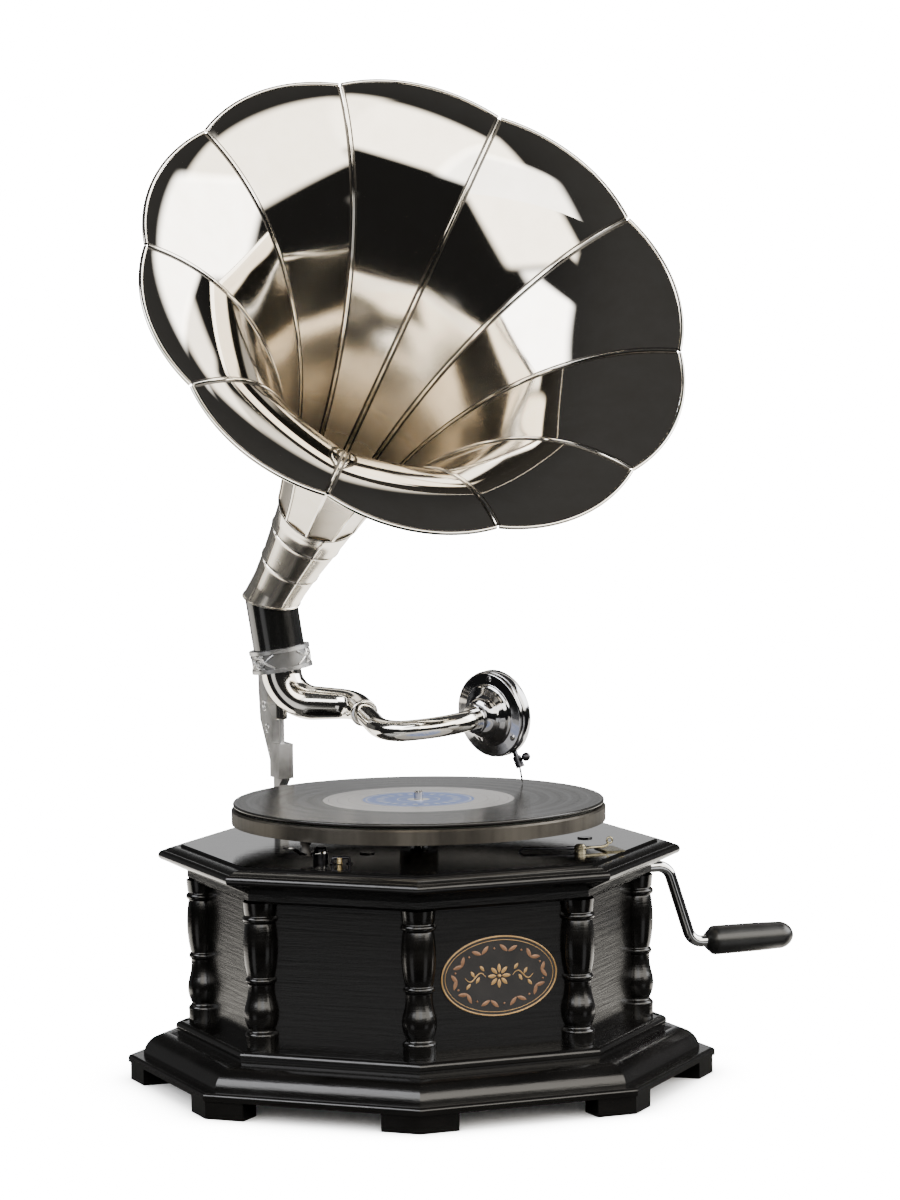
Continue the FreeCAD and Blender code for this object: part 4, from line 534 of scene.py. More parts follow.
NICKEL = polished_metal("seam_nickel", (0.80, 0.76, 0.69), (0.70, 0.66, 0.58), (0.04, 0.10), 0.012, 7.0)
NECK_NICKEL = polished_metal("neck_nickel", (0.86, 0.81, 0.72), (0.78, 0.73, 0.64), (0.20, 0.32), 0.012, 7.0)
TUBE_NICKEL = polished_metal("tube_nickel", (0.83, 0.80, 0.74), (0.72, 0.69, 0.62), (0.06, 0.14), 0.012, 10.0)
CHROME = polished_metal("chrome", (0.66, 0.66, 0.66), (0.55, 0.55, 0.55), (0.05, 0.12), 0.010, 14.0)
# Darker copy of the chrome for the soundbox and the spindle: painted shade in their reflections
SHADED_CHROME = polished_metal("shaded_chrome", (0.42, 0.42, 0.43), (0.34, 0.34, 0.35), (0.05, 0.12), 0.010, 14.0)
# Dark nickel of the strips beside the horn's seams: painted shade along the folds
PAINTED_SEAM_SHADE = polished_metal("seam_painted_shade", (0.085, 0.078, 0.068), (0.050, 0.046, 0.040), (0.22, 0.36), 0.012,
                           30.0)
# Dark copy of the cast metal for the ground of the ring's relief: painted shade between the raised lines
RING_SHADE = machined_metal("cast_painted_shade", (0.26, 0.26, 0.26), (0.15, 0.15, 0.15), (0.30, 0.5))
CASTING = machined_metal("cast_metal", (0.60, 0.60, 0.60), (0.30, 0.30, 0.30), (0.22, 0.45))
STEEL = machined_metal("machined_steel", (0.55, 0.55, 0.54), (0.36, 0.36, 0.35), (0.2, 0.4))
BLACK_STEEL = machined_metal("blued_steel", (0.050, 0.050, 0.055), (0.020, 0.020, 0.022), (0.2, 0.4))
BRASS = machined_metal("dull_brass", (0.62, 0.50, 0.27), (0.30, 0.23, 0.12), (0.18, 0.42))
OLD_BRASS = machined_metal("old_brass", (0.42, 0.38, 0.27), (0.20, 0.18, 0.12), (0.18, 0.40))
# The platter's downward faces are painted near black: painted shade under its rim
IRON = machined_metal("platter_iron", (0.135, 0.124, 0.106), (0.060, 0.055, 0.048), (0.32, 0.5), (1, 1, 0.1),
                      (0.010, 0.009, 0.008))
PANEL_WOOD = lacquered_wood("panel_lacquer", (1, 1, 26), 0.07)
TURNED_WOOD = lacquered_wood("turned_lacquer", (1, 1, 9), 0.10)
TRIM_WOOD = lacquered_wood("trim_lacquer", (1.4, 1.4, 9), 0.10)
BOARD_WOOD = lacquered_wood("board_lacquer", (1, 18, 1), 0.03, (0.04, 0.10))
ENAMEL = gloss_black("black_enamel", (0.10, 0.25), (3, 3, 0.2))
GRIP = gloss_black("grip_lacquer", (0.30, 0.42), coat=0.05)
PRINT = gloss_black("print_ground", (0.25, 0.4), tint=(0.0045, 0.0035, 0.003))
GOLD = printed_gold("gold_line", (0.36, 0.22, 0.085), (0.24, 0.14, 0.05))
OLD_GOLD = printed_gold("dull_gold", (0.22, 0.115, 0.060), (0.13, 0.065, 0.035))
SHELLAC = shellac("record_shellac")
LABEL = label_paper("label_print")
FELT = mottled("mat_felt", (900, 6.0, 0.8), (0.010, 0.013, 0.010), (0.030, 0.036, 0.028), (0.85, 1.0),
               (0.6, 0.0005), Sheen_Weight=0.4)
RUBBER = mottled("gasket_rubber", (500, 4.0), (0.020, 0.018, 0.016), (0.040, 0.036, 0.032), (0.6, 0.8),
                 (0.2, 0.0003))
MICA = mottled("mica_sheet", (220, 5.0, 0.65, 1.0), (0.52, 0.47, 0.36), (0.70, 0.66, 0.56), (0.08, 0.25),
               (0.1, 0.0002), Transmission_Weight=0.25, IOR=1.58)

NODE_MATERIALS = {
    PANEL_WOOD: ("side_panels", "crank_panel"),
    TURNED_WOOD: ("corner_columns",),
    TRIM_WOOD: ("feet", "base_slab", "plinth_moulding", "deck_moulding", "frieze_moulding"),
    BOARD_WOOD: ("motor_board", "motor_bolts"),
    PRINT: ("oval_plaque",),
    NICKEL: ("horn_neck", "horn_petals", "horn_seams", "horn_rim"),
    TUBE_NICKEL: ("arm_tube", "gooseneck"),
    CHROME: ("soundbox_back", "soundbox_ring", "crank_rod", "crank_escutcheon", "soundbox_screws"),
    ENAMEL: ("horn_elbow", "needle"),
    GRIP: ("crank_grip",),
    CASTING: ("bracket_casting", "bracket_screws", "pivot_pin"),
    IRON: ("platter",),
    FELT: ("felt_mat",),
    SHELLAC: ("record",),
    LABEL: ("record_label",),
    BRASS: ("governor_wheel", "intermediate_wheel", "spring_barrel", "winding_wheel", "governor_weights",
            "governor_disc"),
    OLD_BRASS: ("speed_lever", "speed_pivot", "speed_scale"),
    SHADED_CHROME: ("spindle",),
    STEEL: ("intermediate_arbor", "winding_arbor", "ratchet_wheel", "winding_pinion", "click",
            "governor_shaft", "winding_shaft", "motor_low_plate", "motor_top_plate", "motor_pillars",
            "brake_lever", "mainspring"),
    BLACK_STEEL: ("needle_screw", "stylus_bar", "brake_screw"),
    RUBBER: ("soundbox_gaskets",),
    MICA: ("diaphragm",),
}


def dress_nodes():
    """Give every CAD node its material."""
    for material, names in NODE_MATERIALS.items():
        for name in names:
            mesh = nodes[name].data
            mesh.materials.clear()
            mesh.materials.append(material)


# Horn: black sleeve in the ring, mitred neck and bell
HORN_AXIS, RING_AT = joint_way("horn_turn"), joint_at("horn_turn")
HORN_WAY, THROAT_WAY = heading(-67.97, 38.22), heading(-47.9, 50.5)
ELBOW_RADIUS, ELBOW_WALL, ELBOW_RUN, ELBOW_INSERT, RING_LEDGE = 18.0, 1.6, 42.0, 14.0, 1.55
THROAT_RUN, THROAT_LEAD, THROAT_BEND = 77.6, 14.0, 50.0
ELBOW_KNEE = RING_AT + HORN_AXIS * ELBOW_RUN
THROAT_TURN = ELBOW_KNEE + THROAT_WAY * THROAT_RUN
BELL_AT = THROAT_TURN + HORN_WAY * THROAT_LEAD
MITRE_WAY = (HORN_AXIS + THROAT_WAY).normalized()
HORN = place(BELL_AT * MM, HORN_WAY, Z.cross(HORN_WAY))
SHEET = 0.8
FOOT_RADIUS, LOW_RADIUS, HIGH_RADIUS, RIM_RADIUS = ELBOW_RADIUS + 0.3, 20.3, 29.0, 179.2
HORN_LENGTH, PETALS, PHASE, SCALLOP, PETAL_LIFT = 234.0, 10, 2.8, 6.0, 0.25
FLARE_START, FLARE_END, FLARE_COUNT = math.radians(12.2), math.radians(84.0), 72
FLARE_LONG = HORN_LENGTH / (math.sin(FLARE_END) - math.sin(FLARE_START))
FLARE_WIDE = (RIM_RADIUS - HIGH_RADIUS) / (math.cos(FLARE_START) - math.cos(FLARE_END))
FLARE_STEPS = [FLARE_START + (FLARE_END - FLARE_START) * (i / FLARE_COUNT) for i in range(FLARE_COUNT + 1)]
HALF_PETAL = math.pi / PETALS
SEAM_GAP = 0.6
SEAM_SECTION = (
    (-1.15, 0.05), (-1.05, 0.7), (-0.7, 1.05), (-0.4, 1.05), (-0.25, 0.75), (0.0, 0.7), (0.25, 0.75),
    (0.4, 1.05), (0.7, 1.05), (1.05, 0.7), (1.15, 0.05), (1.05, -1.3), (0.0, -1.75), (-1.05, -1.3),
)
BED_WIDE, BED_DEEP, BED_RISE = 1.9, 0.3, -0.08
FLAT, BULGE_POWER = 0.9, 2.5
BEAD, BEAD_SHARE, BEAD_STEPS = 1.4, 0.99, 36
BELL_NICKEL = horn_metal("bell_nickel", (0.71, 0.66, 0.58), (0.65, 0.595, 0.51), 0.005, 0.015, 0.28)


def flare(t):
    """Height, radius and slope of the seam line at the parameter t of its ellipse."""
    z = PETAL_LIFT + FLARE_LONG * (math.sin(t) - math.sin(FLARE_START))
    r = HIGH_RADIUS + FLARE_WIDE * (math.cos(FLARE_START) - math.cos(t))
    return z, r, math.atan2(FLARE_WIDE * math.sin(t), FLARE_LONG * math.cos(t))


def petal_turn(k):
    """Angle of petal k's middle; k and a half is the seam after it."""
    return math.radians(PHASE) + 2 * HALF_PETAL * k


def petal_point(t, share, offset, turn):
    """Point of a petal, share -1 to 1 from seam to seam, offset outward from its inner face."""
    z, r, slope = flare(t)
    out = ((r - HIGH_RADIUS) / (RIM_RADIUS - HIGH_RADIUS)) ** BULGE_POWER
    bulge = SCALLOP * out - FLAT * r * (1 - math.cos(HALF_PETAL)) * (1 - out)
    z, r = z - offset * math.sin(slope), r + offset * math.cos(slope)
    middle = r + bulge
    centre = (middle ** 2 - r ** 2) / (2 * (middle - r * math.cos(HALF_PETAL)))
    arc = middle - centre
    swing = share * (HALF_PETAL - math.asin(SEAM_GAP / r))
    ring = centre * math.cos(swing) + math.sqrt(arc ** 2 - (centre * math.sin(swing)) ** 2)
    return Vector((ring * math.cos(turn + swing), ring * math.sin(turn + swing), z))


def horn_petals():
    shape = Shape(HORN)
    shares = [-1 + 2 * j / 20 for j in range(21)]
    for turn in map(petal_turn, range(PETALS)):
        inner, outer = ([[petal_point(t, s, offset, turn) for s in shares] for t in FLARE_STEPS]
                        for offset in (0.0, SHEET))
        shape.grid(inner, flip=True)
        shape.grid(outer)
        for end in (0, -1):
            shape.grid([inner[end], outer[end]])
        for end in (0, -1):
            shape.grid([[row[end] for row in inner], [row[end] for row in outer]])
    shape.finish("petals", "horn", BELL_NICKEL, "polished_nickel", "horn_petals")


def horn_seams():
    """Folded seams: a raised rib inside with a groove along its middle, and a flatter one outside."""
    shape = Shape(HORN)
    for k in range(PETALS):
        turn = petal_turn(k + 0.5)
        out = Vector((math.cos(turn), math.sin(turn), 0))
        beside = Z.cross(out)
        rows = []
        for t in FLARE_STEPS:
            z, r, slope = flare(t)
            inward = -out * math.cos(slope) + Z * math.sin(slope)
            rows.append([out * r + Z * z + beside * a + inward * b for a, b in SEAM_SECTION])
        shape.grid(rows, wrap=True)
        for row in (rows[0], rows[-1]):
            shape.grid([row, [sum(row, Vector()) / len(row)] * len(row)], wrap=True)
    shape.finish("seams", "horn", NICKEL, "polished_nickel", "horn_seams")


def seam_shade_strips():
    """Dark strip on each petal beside its seams: painted shade along the folds."""
    shape = Shape(HORN)
    for turn in map(petal_turn, range(PETALS)):
        for side in (-1, 1):
            rows = []
            for t in FLARE_STEPS:
                inner = side * (1 - BED_WIDE / (flare(t)[1] * HALF_PETAL))
                corners = ((inner, BED_DEEP), (inner, BED_RISE), (side, BED_RISE), (side, BED_DEEP))
                rows.append([petal_point(t, share, offset, turn) for share, offset in corners])
            shape.grid(rows, wrap=True)
            for row in (rows[0], rows[-1]):
                shape.grid([row[:2], [row[3], row[2]]])
    shape.finish("seam_shade_strips", "horn", PAINTED_SEAM_SHADE, "polished_nickel")


def horn_rim():
    """Wired edge of each petal, rolled over a bead."""
    shape = Shape(HORN)
    slope = flare(FLARE_END)[2]
    for turn in map(petal_turn, range(PETALS)):
        line = []
        for j in range(BEAD_STEPS + 1):
            share = -BEAD_SHARE + 2 * BEAD_SHARE * j / BEAD_STEPS
            spot = (petal_point(FLARE_END, share, 0.0, turn) + petal_point(FLARE_END, share, SHEET, turn)) / 2
            out = Vector((spot.x, spot.y, 0)).normalized()
            line.append(spot + out * (BEAD * math.sin(slope)) + Z * (BEAD * math.cos(slope)))
        shape.rod(line, BEAD, 16)
    shape.finish("rim_bead", "horn", NICKEL, "polished_nickel", "horn_rim")


# Neck: distances are measured along it from the mitre
NECK_RINGS = (33.8, 60.7, 90.2)
NECK_START, NECK_END = ELBOW_INSERT - 1.0, NECK_RINGS[-1] + 1.4
NECK_SEAMS = [math.radians(-45 + 72 * k) for k in range(5)]
FOLD_TALL, FOLD_WIDE, JOINT_TALL, JOINT_WIDE = 0.55, 0.7, 0.75, 0.75
JOINT_STATIONS = (-1.4, -0.9, -0.5, -0.2, 0.2, 0.5, 0.9, 1.3)
NECK_SIDES, BORE_SIDES = 360, 96


def seam_rise(angle, radius):
    """Height of the neck's folded seams at an angle round it."""
    rise = 0.0
    for seam in NECK_SEAMS:
        off = (angle - seam + math.pi) % (2 * math.pi) - math.pi
        rise += FOLD_TALL * math.exp(-(off * radius / FOLD_WIDE) ** 2)
    return rise


def ring_rise(station):
    """Height of the rolled joints between the neck's lengths."""
    return sum(JOINT_TALL * math.exp(-((station - ring) / JOINT_WIDE) ** 2) for ring in NECK_RINGS)


def neck_radius(station):
    """Outer radius of the neck, without its joints and seams."""
    spots = ((0.0, FOOT_RADIUS), (ELBOW_INSERT, FOOT_RADIUS), (NECK_RINGS[0], LOW_RADIUS),
             (NECK_END, HIGH_RADIUS))
    for (a, first), (b, last) in zip(spots, spots[1:]):
        if station <= b:
            return SHEET + first + (last - first) * (station - a) / (b - a)
    return SHEET + HIGH_RADIUS


def on_mitre(way, spot, radius):
    """Point where a bar along way meets the elbow's mitre; spot is a unit vector across the bar."""
    rise = -radius * spot.dot(MITRE_WAY) / way.dot(MITRE_WAY)
    return ELBOW_KNEE + spot * radius + way * rise


def across(way):
    """Unit vectors across a bar: toward the camera side and to its right."""
    near = (-Y - way * way.dot(-Y)).normalized()
    return near, way.cross(near)


def spots_round(way, sides):
    """Unit vectors round a bar, from its camera side."""
    near, right = across(way)
    return [near * math.cos(a) + right * math.sin(a) for a in round_turn(sides)]


def horn_neck():
    """Three tapered lengths with rolled joints and folded seams, cut at a mitre over the black sleeve."""
    shape = Shape()
    spots = spots_round(THROAT_WAY, NECK_SIDES)
    foot = FOOT_RADIUS + SHEET
    rows = [[on_mitre(THROAT_WAY, s, foot + grow) + THROAT_WAY * lift for s in spots]
            for grow, lift in ((-SHEET, 0.0), (0.55, 0.0), (0.6, 1.3), (0.1, 1.7))]
    for share in (0.35, 1.0):
        row = []
        for a, s in zip(round_turn(NECK_SIDES), spots):
            start = on_mitre(THROAT_WAY, s, foot) + THROAT_WAY * 2.2
            end = ELBOW_KNEE + s * foot + THROAT_WAY * NECK_START
            row.append(start.lerp(end, share) + s * seam_rise(a, foot))
        rows.append(row)
    shape.grid(rows, wrap=True)
    line = bent_path([ELBOW_KNEE + THROAT_WAY * NECK_START, THROAT_TURN, BELL_AT], [THROAT_BEND], 24)
    evenly = {(NECK_END - NECK_START) * i / 40 for i in range(41)}
    stations = sorted(evenly | {ring - NECK_START + off for ring in NECK_RINGS for off in JOINT_STATIONS})
    points = along(line, stations)
    near = across(THROAT_WAY)[0]
    plain = [neck_radius(station + NECK_START) for station in stations]
    radii = []
    for station, radius in zip(stations, plain):
        base = radius + ring_rise(station + NECK_START)
        radii.append(lambda a, base=base: base + seam_rise(a, base))
    shape.tube(points, radii, NECK_SIDES, capped=False, side=near)
    shape.tube(points, [radius - SHEET for radius in plain], BORE_SIDES, capped=False, side=near)
    shape.finish("neck", "horn", NECK_NICKEL, "polished_nickel", "horn_neck", weld=False)


def horn_elbow():
    """Black sleeve from the ring to the mitre, and on into the neck."""
    shape = Shape()
    low, high = spots_round(HORN_AXIS, BORE_SIDES), spots_round(THROAT_WAY, BORE_SIDES)
    foot = RING_AT + HORN_AXIS * RING_LEDGE
    end = ELBOW_KNEE + THROAT_WAY * ELBOW_INSERT
    for r in (ELBOW_RADIUS, ELBOW_RADIUS - ELBOW_WALL):
        shape.grid([[foot + s * r for s in low], [on_mitre(HORN_AXIS, s, r) for s in low]], wrap=True)
        shape.grid([[on_mitre(THROAT_WAY, s, r) for s in high], [end + s * r for s in high]], wrap=True)
    shape.finish("elbow", "horn", ENAMEL, "black_enamel", "horn_elbow", weld=False)


# Tonearm, gooseneck and soundbox
ARM_AT, MOUTH_AT = joint_at("arm_swing"), joint_at("soundbox_tip")
ARM_FOOT = Vector((ARM_AT.x, ARM_AT.y, 0))
ARM_LEVEL, ARM_RUN, ARM_WAY, ARM_BEND = 240.0, 56.0, heading(-20.1), 25.0
ARM_TOP, ARM_TOP_RADIUS, ARM_END_RADIUS, TUBE_WALL, TUBE_SIDES = 267.0, 14.6, 8.7, 1.2, 64
PIN_TURNS, PIN_LEVEL = (100, 200), Z * -6.2
BUSH_LOW, BUSH_TOP = 228.0, 238.5
MOUTH_WAY, MOUTH_BEND = heading(-72.1, -11.5), 24.0
NECK_RADIUS, NECK_INSERT, NECK_BEND = 7.2, 8.0, 34.0
NECK_FIRST, NECK_MID, NECK_LAST, BOX_BOSS = 45.0, 44.5, 28.0, 16.0
NECK_WAY, BOX_TURN = heading(-16.7, 6.6), 46.4
BOX_WAY = heading(BOX_TURN, 5.7)
FIRST_BEND = MOUTH_AT + MOUTH_WAY * NECK_FIRST
SECOND_BEND = FIRST_BEND + NECK_WAY * NECK_MID
BOX_AT = SECOND_BEND + BOX_WAY * (NECK_LAST + BOX_BOSS)
BOX = place(BOX_AT * MM, BOX_WAY, heading(BOX_TURN - 90))
BOX_RADIUS, BOX_PLATE, BOX_DEPTH, BOX_WINDOW = 29.6, 3.0, 11.0, 24.5
BAR_ANGLE, BAR_HALF = 23.6, 1.9


def arm_tube():
    """Tapered arm with a collar and two pins at its mouth, and a bush round the pivot."""
    shape = Shape()
    knee = ARM_FOOT + Z * ARM_LEVEL
    points = [ARM_FOOT + Z * ARM_TOP, knee, knee + ARM_WAY * ARM_RUN, MOUTH_AT]
    line = bent_path(points, [ARM_BEND, MOUTH_BEND], 22)
    outer = tapered(line, ARM_TOP_RADIUS, ARM_END_RADIUS)
    shape.tube(line, outer, TUBE_SIDES, capped=False)
    shape.tube(line, [r - TUBE_WALL for r in outer], TUBE_SIDES, capped=False)
    shape.matrix = place(MOUTH_AT * MM, MOUTH_WAY, Z)
    r = ARM_END_RADIUS
    shape.lathe(eased([(r - TUBE_WALL, 0.02), (r + 0.5, 0.02), (r + 1.0, -0.6), (r + 1.0, -2.6),
                       (r + 0.4, -3.2), (r - 0.1, -3.2)], 0.2), 72)
    for out in map(heading, PIN_TURNS):
        shape.ball(out * (r + 1.9) + PIN_LEVEL, 1.7)
        shape.rod([out * (r - 0.4) + PIN_LEVEL, out * (r + 1.6) + PIN_LEVEL], 1.1, 14)
    shape.matrix = Matrix.Translation(ARM_FOOT * MM)
    shape.lathe(eased([(1.8, BUSH_LOW), (4.0, BUSH_LOW), (4.0, BUSH_TOP)], 0.3), 32)
    shape.finish("arm", "tonearm", TUBE_NICKEL, "polished_nickel", "arm_tube", weld=False)


def gooseneck():
    shape = Shape()
    points = [MOUTH_AT - MOUTH_WAY * NECK_INSERT, FIRST_BEND, SECOND_BEND, BOX_AT - BOX_WAY * 2.0]
    line = bent_path(points, [NECK_BEND, NECK_BEND], 26)
    for radius in (NECK_RADIUS, NECK_RADIUS - TUBE_WALL):
        shape.rod(line, radius, TUBE_SIDES, capped=False)
    shape.finish("neck_tube", "soundbox", TUBE_NICKEL, "polished_nickel", "gooseneck", weld=False)


def soundbox():
    """Domed back with its boss, and the ring in front of it with a slot for the stylus bar."""
    back = Shape(BOX)
    n, boss = NECK_RADIUS, BOX_BOSS
    profile = rounded_profile([
        (n + 0.05, -boss), (n + 3.0, -boss), (n + 3.4, -boss + 2.4), (n + 2.2, -boss + 3.2),
        (n + 8.4, -boss * 0.36, n + 6.4, -boss * 0.62), (n + 11.6, -boss * 0.22),
        (n + 12.4, -boss * 0.10), (n + 13.8, -boss * 0.06), (n + 14.4, 0.0), (BOX_RADIUS - 0.8, 0.0),
        (BOX_RADIUS, 0.8), (BOX_RADIUS, BOX_PLATE), (n + 0.05, BOX_PLATE)], 10)
    back.lathe(eased(profile, 0.3), 120)
    back.finish("box_back", "soundbox", SHADED_CHROME, "polished_nickel", "soundbox_back")
    ring = Shape(BOX)
    edge, inside, step = BOX_RADIUS + 0.6, BOX_RADIUS - 3.2, BOX_DEPTH - 2.0
    full = eased([(inside, BOX_PLATE), (BOX_RADIUS + 0.2, BOX_PLATE), (edge, BOX_PLATE + 0.8),
                  (edge, BOX_DEPTH - 1.4), (edge - 1.2, BOX_DEPTH), (BOX_WINDOW, BOX_DEPTH),
                  (BOX_WINDOW, step), (inside, step), (inside, BOX_PLATE)], 0.35)
    gap = math.degrees(math.asin(BAR_HALF / BOX_RADIUS))
    bar = 90 - BAR_ANGLE
    ring.lathe(full, 120, bar + gap, bar + 360 - gap)
    ring.lathe([(r, min(z, BOX_DEPTH - 1.9)) for r, z in full], 6, bar - gap, bar + gap)
    ring.finish("box_ring", "soundbox", SHADED_CHROME, "polished_nickel", "soundbox_ring")


# Crank and columns
CRANK_WAY, CRANK_LEVEL = joint_way("crank_turn"), joint_at("crank_turn").z
CORNER = 146.0
PANEL_FACE = CORNER * math.cos(math.radians(22.5))
CRANK_ROD, CRANK_OUT, CRANK_LEAN, CRANK_DROP, CRANK_BEND = 4.0, 49.8, 18.2, 54.6, 11.0
SOCKET_START, GRIP_LEAD, GRIP_LONG, GRIP_RADIUS, GRIP_WALL = 100.6, 11.0, 67.0, 10.1, 6.0


def crank():
    shape = Shape()
    axis = Z * CRANK_LEVEL
    knee = axis + CRANK_WAY * (PANEL_FACE + CRANK_OUT)
    ankle = knee + CRANK_WAY * CRANK_LEAN - Z * CRANK_DROP
    end = ankle + CRANK_WAY * (GRIP_LEAD + GRIP_LONG - GRIP_WALL)
    line = bent_path([axis + CRANK_WAY * SOCKET_START, knee, ankle, end], [CRANK_BEND, CRANK_BEND], 18)
    shape.rod(line, CRANK_ROD, 32)
    shape.finish("crank_bar", "crank", CHROME, "polished_nickel", "crank_rod")
    grip = Shape(place((ankle + CRANK_WAY * GRIP_LEAD) * MM, CRANK_WAY, Z))
    r, long = GRIP_RADIUS, GRIP_LONG
    profile = rounded_profile([
        (CRANK_ROD + 0.08, 0.0), (CRANK_ROD + 1.4, 0.0), (r, long * 0.08),
        (r * 0.985, long * 0.50, r * 0.998, long * 0.29), (r * 0.93, long * 0.82, r * 0.965, long * 0.67),
        (r * 0.12, long, r * 0.67, long * 0.945), (0.0, long)], 12)
    grip.lathe(eased(profile, 0.5), 64)
    grip.finish("handle", "grip", GRIP, "grip_lacquer", "crank_grip")


PANEL_FOOT, COLUMN_TALL, COLUMN_SWEEP = 39.0, 97.0, 112.5
COLUMN_RING, COLUMN_VASE, COLUMN_NECK = 11.6, 11.2, 8.8
TURNING = (
    (0.000, COLUMN_RING - 0.8), (0.085, COLUMN_RING - 0.7),
    (0.122, COLUMN_NECK + 0.4, COLUMN_RING - 1.0, 0.112), (0.138, COLUMN_NECK), (0.150, COLUMN_NECK + 0.6),
    (0.300, COLUMN_VASE - 0.6, COLUMN_VASE + 0.1, 0.225), (0.430, COLUMN_NECK, COLUMN_NECK + 0.3, 0.370),
    (0.445, COLUMN_NECK), (0.490, COLUMN_NECK, COLUMN_RING - 1.4, 0.4675), (0.505, COLUMN_NECK + 0.5),
    (0.845, COLUMN_VASE - 1.0, COLUMN_VASE + 0.1, 0.680), (0.860, COLUMN_NECK + 1.0),
    (0.908, COLUMN_NECK + 1.2, COLUMN_RING, 0.884), (0.920, COLUMN_RING - 1.0), (1.000, COLUMN_RING - 0.3),
)


def columns():
    """Turned columns over the cabinet's corners, open where they sit against the panels."""
    corners = []
    for step in TURNING:
        corner = (step[1], PANEL_FOOT + COLUMN_TALL * step[0])
        if len(step) == 4:
            corner += (step[2], PANEL_FOOT + COLUMN_TALL * step[3])
        corners.append(corner)
    profile = eased(rounded_profile(corners, 9), 0.35)
    for k in range(8):
        out = heading(45 * k)
        shape = Shape(place(out * CORNER * MM, Z, out))
        shape.lathe(profile, 48, -COLUMN_SWEEP, COLUMN_SWEEP)
        made = shape.finish("column_%d" % k, "cabinet", TURNED_WOOD, "black_lacquer")
        if k == 0:
            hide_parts("corner_columns")


# Brake and speed levers under the platter's edge
BOARD_TOP = 160.2
BRAKE_AT, SPEED_AT = joint_at("brake_turn"), joint_at("speed_turn")
BRAKE_WAY, SPEED_HEADING, ROD_TURN = heading(232.0), 18.0, 162
LEVER_LOW, LEVER_TOP, PAD_REACH, PAD_TOP = 4.0, 5.8, 15.0, 20.8
STOP_AT, STOP_WAY, STOP_HALF, STOP_TALL = Vector((-50.0, -104.0, BOARD_TOP)), heading(8), 5.5, 4.2
COIL_RADIUS, COIL_WIRE, COIL_TURNS, COIL_LOW, COIL_TALL = 1.7, 0.32, 6, 0.3, 3.2
ARM_RISE, EYE_REACH, EYE_RISE, EYE_RADIUS = 2.4, 20.6, 6.5, 1.9


def blade(shape, stations, sides=20):
    """A flat bar lofted through (reach, half width, level, half thickness), with rounded edges."""
    rows = []
    for reach, half, level, thick in stations:
        rows.append([(reach, half * math.copysign(abs(math.cos(a)) ** 0.5, math.cos(a)),
                      level + thick * math.copysign(abs(math.sin(a)) ** 0.5, math.sin(a)))
                     for a in round_turn(sides)])
    for row in (rows[0], rows[-1]):
        centre = sum((Vector(p) for p in row), Vector()) / sides
        shape.grid([[centre] * sides, row], wrap=True)
    shape.grid(rows, wrap=True)


def brake():
    """Spoon-ended brake lever with its pad post, and the dark stop with its spring beside it."""
    foot = Vector((BRAKE_AT.x, BRAKE_AT.y, BOARD_TOP))
    shape = Shape(place(foot * MM, Z, BRAKE_WAY))
    middle = (LEVER_LOW + LEVER_TOP) / 2
    blade(shape, [(5.0, 4.6, middle, 0.9), (8.0, 3.2, middle, 0.9), (13.0, 3.4, middle, 0.9),
                  (18.0, 2.6, middle + 0.6, 0.9), (22.0, 2.3, middle + 2.6, 0.85),
                  (25.5, 2.9, middle + 4.6, 0.75), (29.0, 3.6, middle + 5.8, 0.65),
                  (32.5, 3.6, middle + 6.4, 0.6), (35.2, 2.6, middle + 6.6, 0.5),
                  (36.4, 0.9, middle + 6.7, 0.35)])
    shape.lathe(eased([(2.35, LEVER_LOW), (5.1, LEVER_LOW), (5.1, LEVER_TOP), (2.35, LEVER_TOP),
                       (2.35, LEVER_LOW)], 0.25), 48)
    shape.finish("brake_spoon", "brake", CHROME, "steel", "brake_lever")
    pad = Shape(place((foot + BRAKE_WAY * PAD_REACH) * MM, Z, X))
    pad.lathe(eased([(0.0, LEVER_LOW), (3.4, LEVER_LOW), (3.4, LEVER_TOP + 1.6), (2.6, LEVER_TOP + 2.4),
                     (2.6, 11.0), (3.6, 11.6), (3.6, PAD_TOP - 0.8), (2.9, PAD_TOP), (0.0, PAD_TOP)],
                    0.3), 40)
    pad.finish("brake_pad", "brake", RUBBER, "steel")
    stop = Shape(place(STOP_AT * MM, Z, STOP_WAY))
    corners = ((-1, -0.05), (-1, STOP_TALL), (1, STOP_TALL), (1, -0.05))
    legs = [Vector((x * STOP_HALF, 0, z)) for x, z in corners]
    stop.rod(bent_path(legs, [1.6, 1.6], 8), 1.15, 20)
    for side in (-STOP_HALF, STOP_HALF):
        stop.matrix = place((STOP_AT + STOP_WAY * side) * MM, Z, STOP_WAY)
        stop.lathe(eased([(0.0, -0.02), (2.2, -0.02), (2.2, 0.7), (1.0, 1.1)], 0.2), 28)
    stop.finish("brake_stop", "cabinet", BLACK_STEEL, "steel")
    coil = Shape(place((STOP_AT - STOP_WAY) * MM, Z, STOP_WAY))
    total = 2 * math.pi * COIL_TURNS
    helix = [Vector((COIL_RADIUS * math.cos(a), COIL_RADIUS * math.sin(a), COIL_LOW + COIL_TALL * a / total))
             for a in (total * i / 120 for i in range(121))]
    coil.rod(helix, COIL_WIRE, 10)
    coil.lathe(eased([(0.0, -0.02), (1.0, -0.02), (1.0, 3.4), (2.3, 3.4), (2.3, 4.0), (1.2, 4.5), (0.0, 4.6)],
                     0.15), 24)
    coil.finish("stop_spring", "cabinet", BRASS, "brass")


